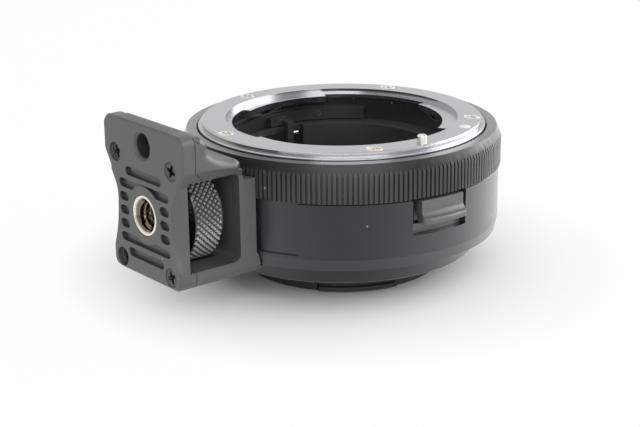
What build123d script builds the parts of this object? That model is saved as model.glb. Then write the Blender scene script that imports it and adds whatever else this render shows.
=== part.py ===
from build123d import *
import os
from math import asin, atan2, cos, degrees, pi, radians, sin

# Lens mount adapter, in millimetres. The lens axis is Z. Height 0 is the camera
# flange, the lens flange faces up, and the tripod foot points along -Y.
# Angles are in degrees about Z, counted from +X.

# Flanges and barrel
FLANGE_DISTANCE = 28.5
BARREL_R = 34.5
BARREL_HIGH = 14.2
TAPER_SET = 0.5
TAPER_HIGH = 2.4
HUB_SET = 5.3
HUB_WALL = 1.7
NECK_SET = 3.1
SLEEVE_WALL = 1.6
SLEEVE_LIP = 1.2
EDGE_BREAK = 0.2

# Clearances
RUN_GAP = 0.08
SEAT_GAP = 0.05
SLIDE_GAP = 0.25
SADDLE_GAP = 0.35
SEAM_GAP = 0.15

# Shallow seat on the barrel for the foot
SEAT_DEPTH = 0.5
SEAT_HALF_ANGLE = 35.0
SEAT_STEP = 3.05

# Lens flange with its bayonet, and the throat below it
MOUNT_THICK = 1.9
MOUNT_SET = 0.8
MOUNT_STEP_THICK = 0.8
MOUNT_BEVEL = 0.35
MOUNT_FACE_WIDE = 5.2
COUNTERBORE_WIDE = 1.4
COUNTERBORE_DEPTH = 1.0
BAYONET_LIP = 0.6
TAB_REACH = 1.9
TAB_THICK = 1.4
TAB_WIDTH = 58.0
TAB_CENTRE = 178.5
TAB_COUNT = 3
THROAT_STEP = 5.0

# Screws of the lens flange
MOUNT_SCREW_COUNT = 5
MOUNT_SCREW_START = 45.5
MOUNT_SCREW_SET = 2.1
MOUNT_SCREW_HEAD_R = 1.75
MOUNT_SCREW_R = 0.9
MOUNT_SCREW_LENGTH = 6.0

# White index bead
DOT_R = 1.05
DOT_SET = 2.35
DOT_ANGLE = 27.7
DOT_DEPTH = 0.8

# Leaf springs under the tabs
LEAF_THICK = 0.25
LEAF_BOW = 0.85
LEAF_HALF_LENGTH = 5.0
LEAF_SET = 0.4
LEAF_WIDE = 1.3
LEAF_OFFSET = 12.5
LEAF_FOOT = 1.8
RIVET_R = 0.45

# Camera bayonet
REAR_FLANGE_THICK = 1.6
REAR_WALL = 1.9
REAR_DROP = 4.7
REAR_TAB_REACH = 1.1
REAR_TAB_RISE = 0.3
REAR_TAB_THICK = 0.95
REAR_TAB_WIDTH = 44.0
REAR_TAB_CENTRE = -31.0
REAR_TAB_COUNT = 3
REAR_SCREW_COUNT = 5
REAR_SCREW_START = 20.0
REAR_SCREW_SET = 2.9
REAR_SCREW_HEAD_R = 1.5
REAR_SCREW_R = 0.8
REAR_SCREW_LENGTH = 4.5
LOCK_HOLE_R = 1.2
LOCK_HOLE_DEPTH = 1.0
LOCK_HOLE_ANGLE = 200.0

# Aperture ring
RING_PROUD = 0.4
RING_SPACE = 8.0
RING_LOW_GAP = 0.14
RING_RISE = 0.3
RING_BEVEL_WIDE = 1.0
RING_BEVEL_HIGH = 2.9
RING_RELIEF_WIDE = 0.35
RING_RELIEF_HIGH = 0.5
RIDGE_COUNT = 210
RIDGE_DEPTH = 0.35
RIDGE_LAND = 0.58
RIDGE_FLANK = 0.1
RING_TURN_BACK = 2.0
RING_TURN_ON = 22.0

# Carrier and arm that work the lens's lever
CARRIER_THICK = 1.3
CARRIER_LOW_GAP = 0.2
CARRIER_TOP_GAP = 0.55
CARRIER_HIGH = 2.6
CARRIER_CENTRE = 182.0
CARRIER_HALF_ANGLE = 55.0
DRIVE_SCREW_ANGLES = (153.0, 225.0)
DRIVE_SCREW_R = 0.9
DRIVE_HEAD_R = 1.6
DRIVE_HEAD_THICK = 1.2
DRIVE_HEAD_SINK = 0.6
ARM_ANGLE = 176.0
ARM_HALF_ANGLE = 2.4
ARM_SET = 0.25
ARM_THICK = 1.2
ARM_DROP = 5.8
ARM_RISE = 1.1
ARM_FOOT_START = 176.0
ARM_FOOT_END = 187.0
ARM_FOOT_THICK = 1.2
ARM_FOOT_DROP = 0.5
ARM_PIN_R = 0.5
ARM_PIN_LENGTH = 1.4
ARM_PIN_RISE = 4.2
ARM_SCREW_R = 0.55
ARM_SCREW_ANGLES = (179.5, 184.5)

# Lens release
RELEASE_ANGLE = -3.6
RELEASE_TRAVEL = 2.1
WINDOW_HALF_ANGLE = 11.7
WINDOW_HIGH = 7.65
WINDOW_DEPTH = 4.7
LEVER_HALF_ANGLE = 8.9
LEVER_TOP_GAP = 0.25
LEVER_FACE_PROUD = 0.7
LEVER_FACE_HIGH = 2.0
LEVER_LIP_REACH = 1.8
LEVER_LIP_DROP = 3.6
LEVER_LIP_THICK = 1.4
LEVER_SCOOP_SAG = 0.45
LEVER_CORNER_R = 1.6
GUIDE_SET = 1.5
GUIDE_THICK = 0.8
GUIDE_HIGH = 2.05
TONGUE_WIDTH = 4.4
TONGUE_REACH = 2.0
PIN_TURN = -2.0
PIN_SET = 1.5
PIN_R = 1.02
PIN_STAND = 1.85
PIN_CROWN = 0.25
SPRING_R = 1.1
SPRING_WIRE = 0.4
SPRING_TURNS = 5
SPRING_POCKET_R = 1.6
SPRING_POCKET_DEPTH = 4.55

# Clamp wheel and its stud
WHEEL_DROP = 3.0
WHEEL_R = 10.4
WHEEL_STAND = 2.5
WHEEL_WIDTH = 6.7
WHEEL_GAP = 0.5
WHEEL_FLOOR = 2.4
KNURL_DEPTH = 0.6
KNURL_AROUND = 48
KNURL_ROWS = 5
HUB_STEP_R = 4.6
WASHER_R = 4.8
WASHER_THICK = 0.5
STUD_R = 2.0
STUD_ENGAGE = 4.2
CLIP_R = 2.7
CLIP_THICK = 0.6
CLIP_GROOVE_DEPTH = 0.4
CLIP_POCKET_R = 3.1
CLIP_GAP = 0.15

# Tripod bush
BUSH_RISE = 0.7
BUSH_R = 4.2
BUSH_LENGTH = 4.6
BUSH_GAP = 1.1
BUSH_COLLAR_R = 5.2
BUSH_COLLAR_THICK = 1.1
BUSH_THREAD_R = 2.58
BUSH_CHAMFER = 1.2

# Foot, front view
FOOT_RISE = 6.7
FOOT_HALF_LOW = 12.2
FOOT_HALF_TOP = 14.2
EAR_DROP = 0.8
EAR_HIGH = 3.2
EAR_CORNER_R = 1.6
FOOT_CORNER_R = 2.2
FOOT_BEVEL = 0.5

# Foot, side view
WINDOW_HEAD = 9.9
WINDOW_SILL = 3.7
WINDOW_ROUND = 1.5
SADDLE_WALL = 1.85
SADDLE_DROP = 1.9
SADDLE_LEAN = 1.2
SHOULDER_STEP = 0.8
SHOULDER_SET = 0.2
SHOULDER_WIDE = 2.0
SHOULDER_RISE = 2.5
SHOULDER_SAG = 0.55
HORN_RISE = 2.4
HORN_THICK = 3.35
HORN_SAG = 0.65
HORN_ROUND = 2.4
PLATE_THICK = 2.4
EAR_THICK = 3.25
LIP_THICK = 5.85
LIP_RISE = 2.3
SILL_THICK = 4.0
TOE_GAP = 2.2
PAD_HALF_ANGLE = 13.5
PAD_MARGIN = 0.4

# Foot plate details
SCOOP_WAIST = 9.55
SCOOP_DROP = 6.0
SCOOP_TOE = 0.3
SCOOP_UPPER_R = 6.0
SCOOP_RUN_OUT = 0.2
GROOVE_COUNT = 7
GROOVE_RISE = 8.3
GROOVE_PITCH = 2.89
GROOVE_WIDE = 1.9
GROOVE_DEPTH = 0.8
GROOVE_HALF_SHORT = 6.4
GROOVE_HALF_LONG = 8.9
GROOVE_STUB_INNER = 5.6
BOSS_R = 6.1
TWIST_HOLE_DROP = 4.4
TWIST_HOLE_R = 2.5
TWIST_HOLE_CHAMFER = 0.6
TWIST_HOLE_DEPTH = 5.2
PLATE_SCREW_HEAD_R = 1.9
PLATE_SCREW_HEAD_GAP = 0.1
PLATE_SCREW_R = 0.75
PLATE_SCREW_LENGTH = 6.5
PLATE_SCREW_UPPER_SET = 4.2
PLATE_SCREW_LOWER_SET = 3.4
PLATE_SCREW_LOWER_RISE = 2.6
PLATE_SCREW_SINK_RIGHT = 0.2
PLATE_SCREW_SINK_UPPER_LEFT = 0.6
PLATE_SCREW_SINK_LOWER_LEFT = 1.2

# Heights that follow from the ones above
NECK_TOP = FLANGE_DISTANCE - MOUNT_THICK
MOUNT_STEP_TOP = NECK_TOP + MOUNT_STEP_THICK
MOUNT_FLOOR = FLANGE_DISTANCE - COUNTERBORE_DEPTH
TAB_LOW = MOUNT_FLOOR - TAB_THICK
LEAF_TOP = TAB_LOW - SEAT_GAP
LEAF_LOW = LEAF_TOP - LEAF_BOW - LEAF_THICK
CARRIER_TOP = LEAF_LOW - CARRIER_TOP_GAP
CARRIER_LOW = CARRIER_TOP - CARRIER_HIGH
DRIVE_HEIGHT = CARRIER_LOW + CARRIER_HIGH / 2
SLEEVE_TOP = CARRIER_LOW - CARRIER_LOW_GAP
SHELF = SLEEVE_TOP - SLEEVE_LIP
ARM_LOW = SLEEVE_TOP - ARM_DROP
ARM_TOP = CARRIER_LOW + ARM_RISE
ARM_FOOT_TOP = CARRIER_TOP - ARM_FOOT_DROP
ARM_PIN_HEIGHT = ARM_LOW + ARM_PIN_RISE
BARREL_TOP = NECK_TOP - RING_SPACE
BARREL_LOW = BARREL_TOP - BARREL_HIGH
TAPER_TOP = BARREL_LOW + TAPER_HIGH
SEAT_LOW = BARREL_LOW + SEAT_STEP
RING_LOW = BARREL_TOP + RING_LOW_GAP
RING_TOP = NECK_TOP + RING_RISE
REAR_TAB_LOW = REAR_TAB_RISE - REAR_DROP
WINDOW_LOW = BARREL_TOP - WINDOW_HIGH
LEVER_TOP = BARREL_TOP - LEVER_TOP_GAP
LEVER_SCOOP_START = LEVER_TOP - LEVER_FACE_HIGH
LEVER_LIP_TOP = BARREL_TOP - LEVER_LIP_DROP
LEVER_LIP_LOW = LEVER_LIP_TOP - LEVER_LIP_THICK
GUIDE_TOP = WINDOW_LOW + GUIDE_HIGH
TAIL_LOW = WINDOW_LOW + RELEASE_TRAVEL + SLIDE_GAP
WEB_LOW = GUIDE_TOP + RELEASE_TRAVEL + SLIDE_GAP
SPRING_POCKET_LOW = WINDOW_LOW - SPRING_POCKET_DEPTH
WHEEL_HEIGHT = BARREL_TOP - WHEEL_DROP
BUSH_HEIGHT = WHEEL_HEIGHT + BUSH_RISE
FOOT_BOTTOM = WHEEL_HEIGHT - WHEEL_R - WHEEL_FLOOR
FOOT_TOP = FLANGE_DISTANCE + FOOT_RISE
WINDOW_FLOOR = FOOT_BOTTOM + WINDOW_SILL
WINDOW_TOP = FOOT_TOP - WINDOW_HEAD
EAR_START = WINDOW_TOP - EAR_DROP
EAR_FULL = EAR_START + EAR_HIGH
LIP_SEAM_TOP = WINDOW_TOP + LIP_RISE
SADDLE_TOP = WINDOW_TOP - SADDLE_DROP
SHOULDER_LOW = WINDOW_TOP + SHOULDER_STEP
SHOULDER_HIGH = SHOULDER_LOW + SHOULDER_RISE
HORN_FOOT = SHOULDER_HIGH + HORN_RISE
SCOOP_LOW = WINDOW_FLOOR - SCOOP_TOE
SCOOP_CENTRE = EAR_START - SCOOP_DROP
GROOVE_TOP = BUSH_HEIGHT + GROOVE_RISE
TWIST_HOLE_HEIGHT = FOOT_TOP - TWIST_HOLE_DROP
PLATE_SCREW_UPPER = (FOOT_HALF_TOP - PLATE_SCREW_UPPER_SET, EAR_FULL)
PLATE_SCREW_LOWER = (FOOT_HALF_LOW - PLATE_SCREW_LOWER_SET, FOOT_BOTTOM + PLATE_SCREW_LOWER_RISE)

# Radii that follow from the ones above
TAPER_R = BARREL_R - TAPER_SET
HUB_R = BARREL_R - HUB_SET
NECK_R = BARREL_R - NECK_SET
RECESS_R = BARREL_R - SEAT_DEPTH
MOUNT_R = NECK_R - MOUNT_SET
COUNTERBORE_R = MOUNT_R - MOUNT_FACE_WIDE
BAYONET_R = COUNTERBORE_R - COUNTERBORE_WIDE
TAB_R = BAYONET_R - TAB_REACH
LEAF_INNER_R = TAB_R + LEAF_SET
LEAF_OUTER_R = LEAF_INNER_R + LEAF_WIDE
MOUNT_SCREW_PITCH_R = MOUNT_R - MOUNT_SCREW_SET
DOT_PITCH_R = MOUNT_R - DOT_SET
PIN_PITCH_R = MOUNT_R - PIN_SET
UPPER_BORE_R = BAYONET_R + BAYONET_LIP
THROAT_R = UPPER_BORE_R - THROAT_STEP
SLEEVE_BORE_R = THROAT_R + SLEEVE_WALL + RUN_GAP
REAR_FLANGE_R = HUB_R - HUB_WALL
REAR_R = THROAT_R + REAR_WALL
REAR_TAB_R = REAR_R + REAR_TAB_REACH
REAR_SCREW_PITCH_R = REAR_FLANGE_R - REAR_SCREW_SET
RING_R = BARREL_R + RING_PROUD
RING_BORE_R = NECK_R + RUN_GAP
CARRIER_R = UPPER_BORE_R - RUN_GAP
CARRIER_INNER_R = CARRIER_R - CARRIER_THICK
DRIVE_HEAD_OUT = RING_R - RIDGE_DEPTH - DRIVE_HEAD_SINK
ARM_INNER_R = THROAT_R + ARM_SET
WINDOW_BACK_R = BARREL_R - WINDOW_DEPTH
LEVER_FACE_R = BARREL_R + LEVER_FACE_PROUD
LEVER_LIP_R = LEVER_FACE_R + LEVER_LIP_REACH
GUIDE_R = BARREL_R - GUIDE_SET
TONGUE_INNER_R = PIN_PITCH_R - TONGUE_REACH
STUD_TIP = RECESS_R - STUD_ENGAGE
PAD_R = RECESS_R + SLIDE_GAP
SADDLE_R = RING_R + SADDLE_GAP
SADDLE_FACE = SADDLE_R + SADDLE_WALL
CLIP_OUT = SADDLE_R - CLIP_GAP
CLIP_IN = CLIP_OUT - CLIP_THICK
CLIP_GROOVE_R = STUD_R - CLIP_GROOVE_DEPTH
WASHER_OUT = SADDLE_FACE + SEAT_GAP + WASHER_THICK
WHEEL_NEAR = SADDLE_FACE + WHEEL_STAND
WHEEL_FAR = WHEEL_NEAR + WHEEL_WIDTH
FOOT_REACH = WHEEL_FAR + BUSH_GAP + BUSH_LENGTH
PLATE_BACK = FOOT_REACH - PLATE_THICK
EAR_SEAM = FOOT_REACH - EAR_THICK
LIP_SEAM = FOOT_REACH - LIP_THICK
LOW_SEAM = FOOT_REACH - SILL_THICK
SHOULDER_REACH = SADDLE_FACE - SHOULDER_SET
HORN_BACK = EAR_SEAM - HORN_THICK
TOE_REACH = HUB_R + TOE_GAP

# Angles that follow from the ones above
PIN_ANGLE = RELEASE_ANGLE + PIN_TURN
RING_SWEEP_HALF = (RING_TURN_BACK + RING_TURN_ON) / 2
RING_SWEEP_SHIFT = (RING_TURN_ON - RING_TURN_BACK) / 2

FULL_TURN = 360.0
BEYOND = 5.0


def turned(points):
    """Solid of revolution about Z from (radius, height) points."""
    return revolve(Plane.XZ * make_face(Polyline(*points, close=True)), Axis.Z)


def tube(inner_r, outer_r, low, high):
    """Plain round tube about Z."""
    return turned([(inner_r, low), (outer_r, low), (outer_r, high), (inner_r, high)])


def rod(radius, low, high):
    """Plain round rod about Z."""
    return Pos(0, 0, low) * extrude(Circle(radius), high - low)


def sector(inner_r, outer_r, low, high, centre, half_angle):
    """Piece of a tube about Z, centred on an angle."""
    start = centre - half_angle
    outer = CenterArc((0, 0), outer_r, start, 2 * half_angle)
    inner = CenterArc((0, 0), inner_r, start, 2 * half_angle)
    sides = [Line(inner @ 0, outer @ 0), Line(inner @ 1, outer @ 1)]
    return Pos(0, 0, low) * extrude(make_face([outer, inner] + sides), high - low)


def flat_screw(head_r, shank_r, length):
    """Countersunk screw along Z with the top of its head at height 0."""
    cone = head_r - shank_r
    return turned([(0, 0), (head_r, 0), (shank_r, -cone), (shank_r, -length), (0, -length)])


def screw_hole(head_r, shank_r, length, gap):
    """Hole for a countersunk screw, with a gap round its head."""
    top = head_r + gap
    shank = shank_r + SEAT_GAP
    cone = top - shank
    return turned([(0, BEYOND), (top, BEYOND), (top, 0), (shank, -cone), (shank, -length), (0, -length)])


def around(count, start, radius, height):
    """Places evenly spread on a circle about Z."""
    step = FULL_TURN / count
    return [Rot(0, 0, start + k * step) * Pos(radius, 0, height) for k in range(count)]


def on_angle(angle, radius, height):
    """Place at an angle, a radius and a height, with local X pointing outward."""
    return Rot(0, 0, angle) * Pos(radius, 0, height)


def outward(angle, height):
    """Placement whose local Z runs outward from the lens axis."""
    return Rot(0, 0, angle) * Pos(0, 0, height) * Rot(0, 90, 0)


def foot_axis(side, height):
    """Placement whose local Z runs outward along the foot."""
    return Pos(side, 0, height) * Rot(90, 0, 0)


def joined(solids):
    """Separate like solids kept together as one group."""
    return Compound(children=[Solid(s.solids()[0].wrapped) for s in solids])


mount_screw_places = around(MOUNT_SCREW_COUNT, MOUNT_SCREW_START, MOUNT_SCREW_PITCH_R, FLANGE_DISTANCE)
rear_screw_places = [
    place * Rot(180, 0, 0)
    for place in around(REAR_SCREW_COUNT, REAR_SCREW_START, REAR_SCREW_PITCH_R, 0)
]
pin_place = on_angle(PIN_ANGLE, PIN_PITCH_R, 0)
plate_screw_places = [
    foot_axis(side * place[0], place[1]) * Pos(0, 0, FOOT_REACH - sink)
    for side, place, sink in (
        (1, PLATE_SCREW_UPPER, PLATE_SCREW_SINK_RIGHT),
        (-1, PLATE_SCREW_UPPER, PLATE_SCREW_SINK_UPPER_LEFT),
        (1, PLATE_SCREW_LOWER, PLATE_SCREW_SINK_RIGHT),
        (-1, PLATE_SCREW_LOWER, PLATE_SCREW_SINK_LOWER_LEFT),
    )
]


def make_barrel():
    """Turned body with its neck, the lever's window, the foot's seat and the tapped holes."""
    body = turned([
        (REAR_FLANGE_R + SEAT_GAP, 0),
        (HUB_R - EDGE_BREAK, 0),
        (HUB_R, EDGE_BREAK),
        (HUB_R, BARREL_LOW),
        (TAPER_R, BARREL_LOW),
        (BARREL_R, TAPER_TOP),
        (BARREL_R, BARREL_TOP - EDGE_BREAK),
        (BARREL_R - EDGE_BREAK, BARREL_TOP),
        (NECK_R, BARREL_TOP),
        (NECK_R, NECK_TOP),
        (UPPER_BORE_R, NECK_TOP),
        (UPPER_BORE_R, SHELF),
        (SLEEVE_BORE_R, SHELF),
        (SLEEVE_BORE_R, REAR_FLANGE_THICK),
        (REAR_FLANGE_R + SEAT_GAP, REAR_FLANGE_THICK),
    ])
    seat = sector(RECESS_R, BARREL_R + BEYOND, SEAT_LOW, BARREL_TOP, -90, SEAT_HALF_ANGLE)
    body -= seat
    body -= sector(WINDOW_BACK_R, BARREL_R + BEYOND, WINDOW_LOW, BARREL_TOP, RELEASE_ANGLE, WINDOW_HALF_ANGLE)
    tongue_space = Box(
        WINDOW_BACK_R + SLIDE_GAP - TONGUE_INNER_R + SLIDE_GAP,
        TONGUE_WIDTH + 2 * SLIDE_GAP,
        BARREL_TOP - WINDOW_LOW,
        align=(Align.MIN, Align.CENTER, Align.MIN),
    )
    body -= on_angle(PIN_ANGLE, TONGUE_INNER_R - SLIDE_GAP, WINDOW_LOW) * tongue_space
    body -= pin_place * rod(SPRING_POCKET_R, SPRING_POCKET_LOW, WINDOW_LOW + SLIDE_GAP)
    body -= pin_place * rod(PIN_R + RUN_GAP, BARREL_TOP - SLIDE_GAP, NECK_TOP + BEYOND)
    for place in mount_screw_places:
        body -= place * rod(MOUNT_SCREW_R + SEAT_GAP, -MOUNT_SCREW_LENGTH - SLIDE_GAP, 0)
    for place in rear_screw_places:
        body -= place * rod(REAR_SCREW_R + SEAT_GAP, -REAR_SCREW_LENGTH - SLIDE_GAP, 0)
    slot_half = RING_SWEEP_HALF + degrees(asin((DRIVE_SCREW_R + SLIDE_GAP) / UPPER_BORE_R))
    slot_high = DRIVE_SCREW_R + SLIDE_GAP
    for angle in DRIVE_SCREW_ANGLES:
        low = DRIVE_HEIGHT - slot_high
        high = DRIVE_HEIGHT + slot_high
        centre = angle + RING_SWEEP_SHIFT
        body -= sector(UPPER_BORE_R - BEYOND / 2, NECK_R + BEYOND / 2, low, high, centre, slot_half)
    body -= foot_axis(0, WHEEL_HEIGHT) * rod(STUD_R + RUN_GAP, STUD_TIP - SLIDE_GAP, BARREL_R)
    return body


def make_front_mount():
    """Lens flange with a counterbore and three bayonet tabs."""
    flange = turned([
        (BAYONET_R, NECK_TOP),
        (NECK_R, NECK_TOP),
        (NECK_R, MOUNT_STEP_TOP - EDGE_BREAK),
        (NECK_R - EDGE_BREAK, MOUNT_STEP_TOP),
        (MOUNT_R, MOUNT_STEP_TOP),
        (MOUNT_R, FLANGE_DISTANCE - MOUNT_BEVEL),
        (MOUNT_R - MOUNT_BEVEL, FLANGE_DISTANCE),
        (COUNTERBORE_R, FLANGE_DISTANCE),
        (COUNTERBORE_R, MOUNT_FLOOR),
        (BAYONET_R, MOUNT_FLOOR),
    ])
    for k in range(TAB_COUNT):
        centre = TAB_CENTRE + k * FULL_TURN / TAB_COUNT
        flange += sector(TAB_R, BAYONET_R + SLIDE_GAP, TAB_LOW, MOUNT_FLOOR, centre, TAB_WIDTH / 2)
    for place in mount_screw_places:
        flange -= place * screw_hole(MOUNT_SCREW_HEAD_R, MOUNT_SCREW_R, MOUNT_SCREW_LENGTH, SEAT_GAP)
    flange -= pin_place * rod(PIN_R + RUN_GAP, NECK_TOP - BEYOND, FLANGE_DISTANCE + BEYOND)
    flange -= on_angle(DOT_ANGLE, DOT_PITCH_R, FLANGE_DISTANCE) * rod(DOT_R, -DOT_DEPTH, BEYOND)
    for k in range(TAB_COUNT):
        flange -= rivet_place(k) * rod(RIVET_R + SEAT_GAP, -BEYOND, BEYOND)
    return flange


def rivet_place(k):
    """Place of a leaf spring's rivet on the underside of its tab."""
    reach = LEAF_HALF_LENGTH - LEAF_FOOT / 2
    radius = (LEAF_INNER_R + LEAF_OUTER_R) / 2
    turn = degrees(asin(reach / radius))
    centre = TAB_CENTRE + LEAF_OFFSET + k * FULL_TURN / TAB_COUNT
    return on_angle(centre + turn, radius, TAB_LOW)


def make_leaf(k):
    """Bowed leaf spring, flat at both ends where it meets its tab."""
    flat = LEAF_HALF_LENGTH - LEAF_FOOT
    top = LEAF_TOP
    bow = ThreePointArc((-flat, top), (0, top - LEAF_BOW), (flat, top))
    low_bow = ThreePointArc((flat, top - LEAF_THICK), (0, top - LEAF_BOW - LEAF_THICK), (-flat, top - LEAF_THICK))
    right = Polyline((flat, top), (LEAF_HALF_LENGTH, top), (LEAF_HALF_LENGTH, top - LEAF_THICK), (flat, top - LEAF_THICK))
    left = Polyline(
        (-flat, top - LEAF_THICK),
        (-LEAF_HALF_LENGTH, top - LEAF_THICK),
        (-LEAF_HALF_LENGTH, top),
        (-flat, top),
    )
    section = make_face([bow, right, low_bow, left])
    strip = Plane.YZ * section
    strip = extrude(strip, LEAF_OUTER_R + BEYOND)
    strip &= tube(LEAF_INNER_R, LEAF_OUTER_R, top - BEYOND, top + BEYOND)
    centre = TAB_CENTRE + LEAF_OFFSET + k * FULL_TURN / TAB_COUNT
    placed = Rot(0, 0, centre) * strip
    return placed - rivet_place(k) * rod(RIVET_R + SEAT_GAP, -BEYOND, BEYOND)


def make_rivet(k):
    """Rivet through a tab and its leaf spring."""
    return rivet_place(k) * rod(RIVET_R, -SEAT_GAP - LEAF_THICK, TAB_THICK)


def make_inner_sleeve():
    """Black light baffle that drops on to the barrel's shelf, with the slot for the arm."""
    outer_r = THROAT_R + SLEEVE_WALL
    sleeve = turned([
        (THROAT_R, REAR_FLANGE_THICK + SEAT_GAP),
        (outer_r, REAR_FLANGE_THICK + SEAT_GAP),
        (outer_r, SHELF),
        (UPPER_BORE_R - SEAT_GAP, SHELF),
        (UPPER_BORE_R - SEAT_GAP, SLEEVE_TOP),
        (THROAT_R, SLEEVE_TOP),
    ])
    pin_room = degrees(asin(ARM_PIN_LENGTH / THROAT_R))
    slot_half = RING_SWEEP_HALF + ARM_HALF_ANGLE + degrees(asin(SLIDE_GAP / THROAT_R)) + pin_room / 2
    slot_centre = ARM_ANGLE + RING_SWEEP_SHIFT - pin_room / 2
    slot_out = outer_r + SLIDE_GAP
    return sleeve - sector(THROAT_R - BEYOND, slot_out, ARM_LOW - SLIDE_GAP, SLEEVE_TOP, slot_centre, slot_half)


def make_rear_mount():
    """Camera bayonet: flange let into the barrel, collar and three tabs."""
    mount = turned([
        (THROAT_R, REAR_FLANGE_THICK),
        (REAR_FLANGE_R, REAR_FLANGE_THICK),
        (REAR_FLANGE_R, 0),
        (REAR_R, 0),
        (REAR_R, -REAR_DROP + EDGE_BREAK),
        (REAR_R - EDGE_BREAK, -REAR_DROP),
        (THROAT_R, -REAR_DROP),
    ])
    for k in range(REAR_TAB_COUNT):
        centre = REAR_TAB_CENTRE + k * FULL_TURN / REAR_TAB_COUNT
        low = REAR_TAB_LOW
        mount += sector(REAR_R - SLIDE_GAP, REAR_TAB_R, low, low + REAR_TAB_THICK, centre, REAR_TAB_WIDTH / 2)
    for place in rear_screw_places:
        mount -= place * screw_hole(REAR_SCREW_HEAD_R, REAR_SCREW_R, REAR_SCREW_LENGTH, SEAT_GAP)
    lock = on_angle(LOCK_HOLE_ANGLE, REAR_SCREW_PITCH_R, 0)
    return mount - lock * rod(LOCK_HOLE_R, -BEYOND, LOCK_HOLE_DEPTH)


def ridged_outline():
    """Round outline with straight ridges, as a polygon of lands and grooves."""
    corners = (
        (0, RING_R),
        (RIDGE_LAND, RING_R),
        (RIDGE_LAND + RIDGE_FLANK, RING_R - RIDGE_DEPTH),
        (1 - RIDGE_FLANK, RING_R - RIDGE_DEPTH),
    )
    points = []
    for k in range(RIDGE_COUNT):
        for share, radius in corners:
            turn = 2 * pi * (k + share) / RIDGE_COUNT
            points.append((radius * cos(turn), radius * sin(turn)))
    return make_face(Polyline(*points, close=True))


def make_aperture_ring():
    """Ridged ring that turns on the neck, with counterbored holes for its drive screws."""
    blank = turned([
        (RING_BORE_R, RING_LOW),
        (RING_R - EDGE_BREAK, RING_LOW),
        (RING_R + EDGE_BREAK, RING_LOW + 2 * EDGE_BREAK),
        (RING_R + EDGE_BREAK, RING_TOP - RING_BEVEL_HIGH),
        (RING_R - RING_BEVEL_WIDE, RING_TOP),
        (RING_BORE_R + RING_RELIEF_WIDE, RING_TOP),
        (RING_BORE_R, RING_TOP - RING_RELIEF_HIGH),
    ])
    ridges = Pos(0, 0, RING_LOW) * extrude(ridged_outline(), RING_TOP - RING_LOW)
    ring = blank & ridges
    for angle in DRIVE_SCREW_ANGLES:
        place = outward(angle, DRIVE_HEIGHT)
        ring -= place * rod(DRIVE_SCREW_R + SEAT_GAP, NECK_R - BEYOND, RING_R)
        head_in = DRIVE_HEAD_OUT - DRIVE_HEAD_THICK - SEAT_GAP
        ring -= place * rod(DRIVE_HEAD_R + SEAT_GAP, head_in, RING_R + BEYOND)
    return ring


def make_drive_screw(angle):
    """Cheese-head screw from the ring into the carrier."""
    head_in = DRIVE_HEAD_OUT - DRIVE_HEAD_THICK
    screw = rod(DRIVE_SCREW_R, CARRIER_INNER_R, head_in) + rod(DRIVE_HEAD_R, head_in, DRIVE_HEAD_OUT)
    return outward(angle, DRIVE_HEIGHT) * screw


def make_lever_carrier():
    """Ring segment that runs on the sleeve's shelf inside the neck."""
    carrier = sector(CARRIER_INNER_R, CARRIER_R, CARRIER_LOW, CARRIER_TOP, CARRIER_CENTRE, CARRIER_HALF_ANGLE)
    for angle in DRIVE_SCREW_ANGLES:
        carrier -= outward(angle, DRIVE_HEIGHT) * rod(DRIVE_SCREW_R + SEAT_GAP, 0, CARRIER_R + BEYOND)
    for angle in ARM_SCREW_ANGLES:
        carrier -= outward(angle, DRIVE_HEIGHT) * rod(ARM_SCREW_R + SEAT_GAP, 0, CARRIER_R + BEYOND)
    return carrier


def make_aperture_arm():
    """Black arm: a foot against the carrier and an upright that reaches down the sleeve's slot."""
    foot_half = (ARM_FOOT_END - ARM_FOOT_START) / 2
    foot_centre = (ARM_FOOT_END + ARM_FOOT_START) / 2
    foot_out = CARRIER_INNER_R - SEAT_GAP
    foot = sector(foot_out - ARM_FOOT_THICK, foot_out, CARRIER_LOW, ARM_FOOT_TOP, foot_centre, foot_half)
    upright = sector(ARM_INNER_R, ARM_INNER_R + ARM_THICK, ARM_LOW, ARM_TOP, ARM_ANGLE, ARM_HALF_ANGLE)
    web = sector(ARM_INNER_R, foot_out, CARRIER_LOW, ARM_TOP, ARM_ANGLE, ARM_HALF_ANGLE)
    arm = foot + upright + web
    for angle in ARM_SCREW_ANGLES:
        arm -= outward(angle, DRIVE_HEIGHT) * rod(ARM_SCREW_R + SEAT_GAP, 0, CARRIER_R)
    return arm - arm_pin_place() * rod(ARM_PIN_R + SEAT_GAP, -ARM_PIN_LENGTH, BEYOND)


def arm_pin_place():
    """Placement of the arm's pin, which points sideways out of the upright."""
    side = ARM_ANGLE - ARM_HALF_ANGLE
    return on_angle(side, ARM_INNER_R + ARM_THICK / 2, ARM_PIN_HEIGHT) * Rot(90, 0, 0)


def make_arm_pin():
    """Steel pin pressed into the arm."""
    return arm_pin_place() * rod(ARM_PIN_R, -ARM_PIN_LENGTH + SEAT_GAP, ARM_PIN_LENGTH)


def make_arm_screw(angle):
    """Grub screw through the carrier into the arm's foot."""
    foot_in = CARRIER_INNER_R - SEAT_GAP - ARM_FOOT_THICK
    return outward(angle, DRIVE_HEIGHT) * rod(ARM_SCREW_R, foot_in + SEAT_GAP, CARRIER_R - SEAT_GAP)


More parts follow.
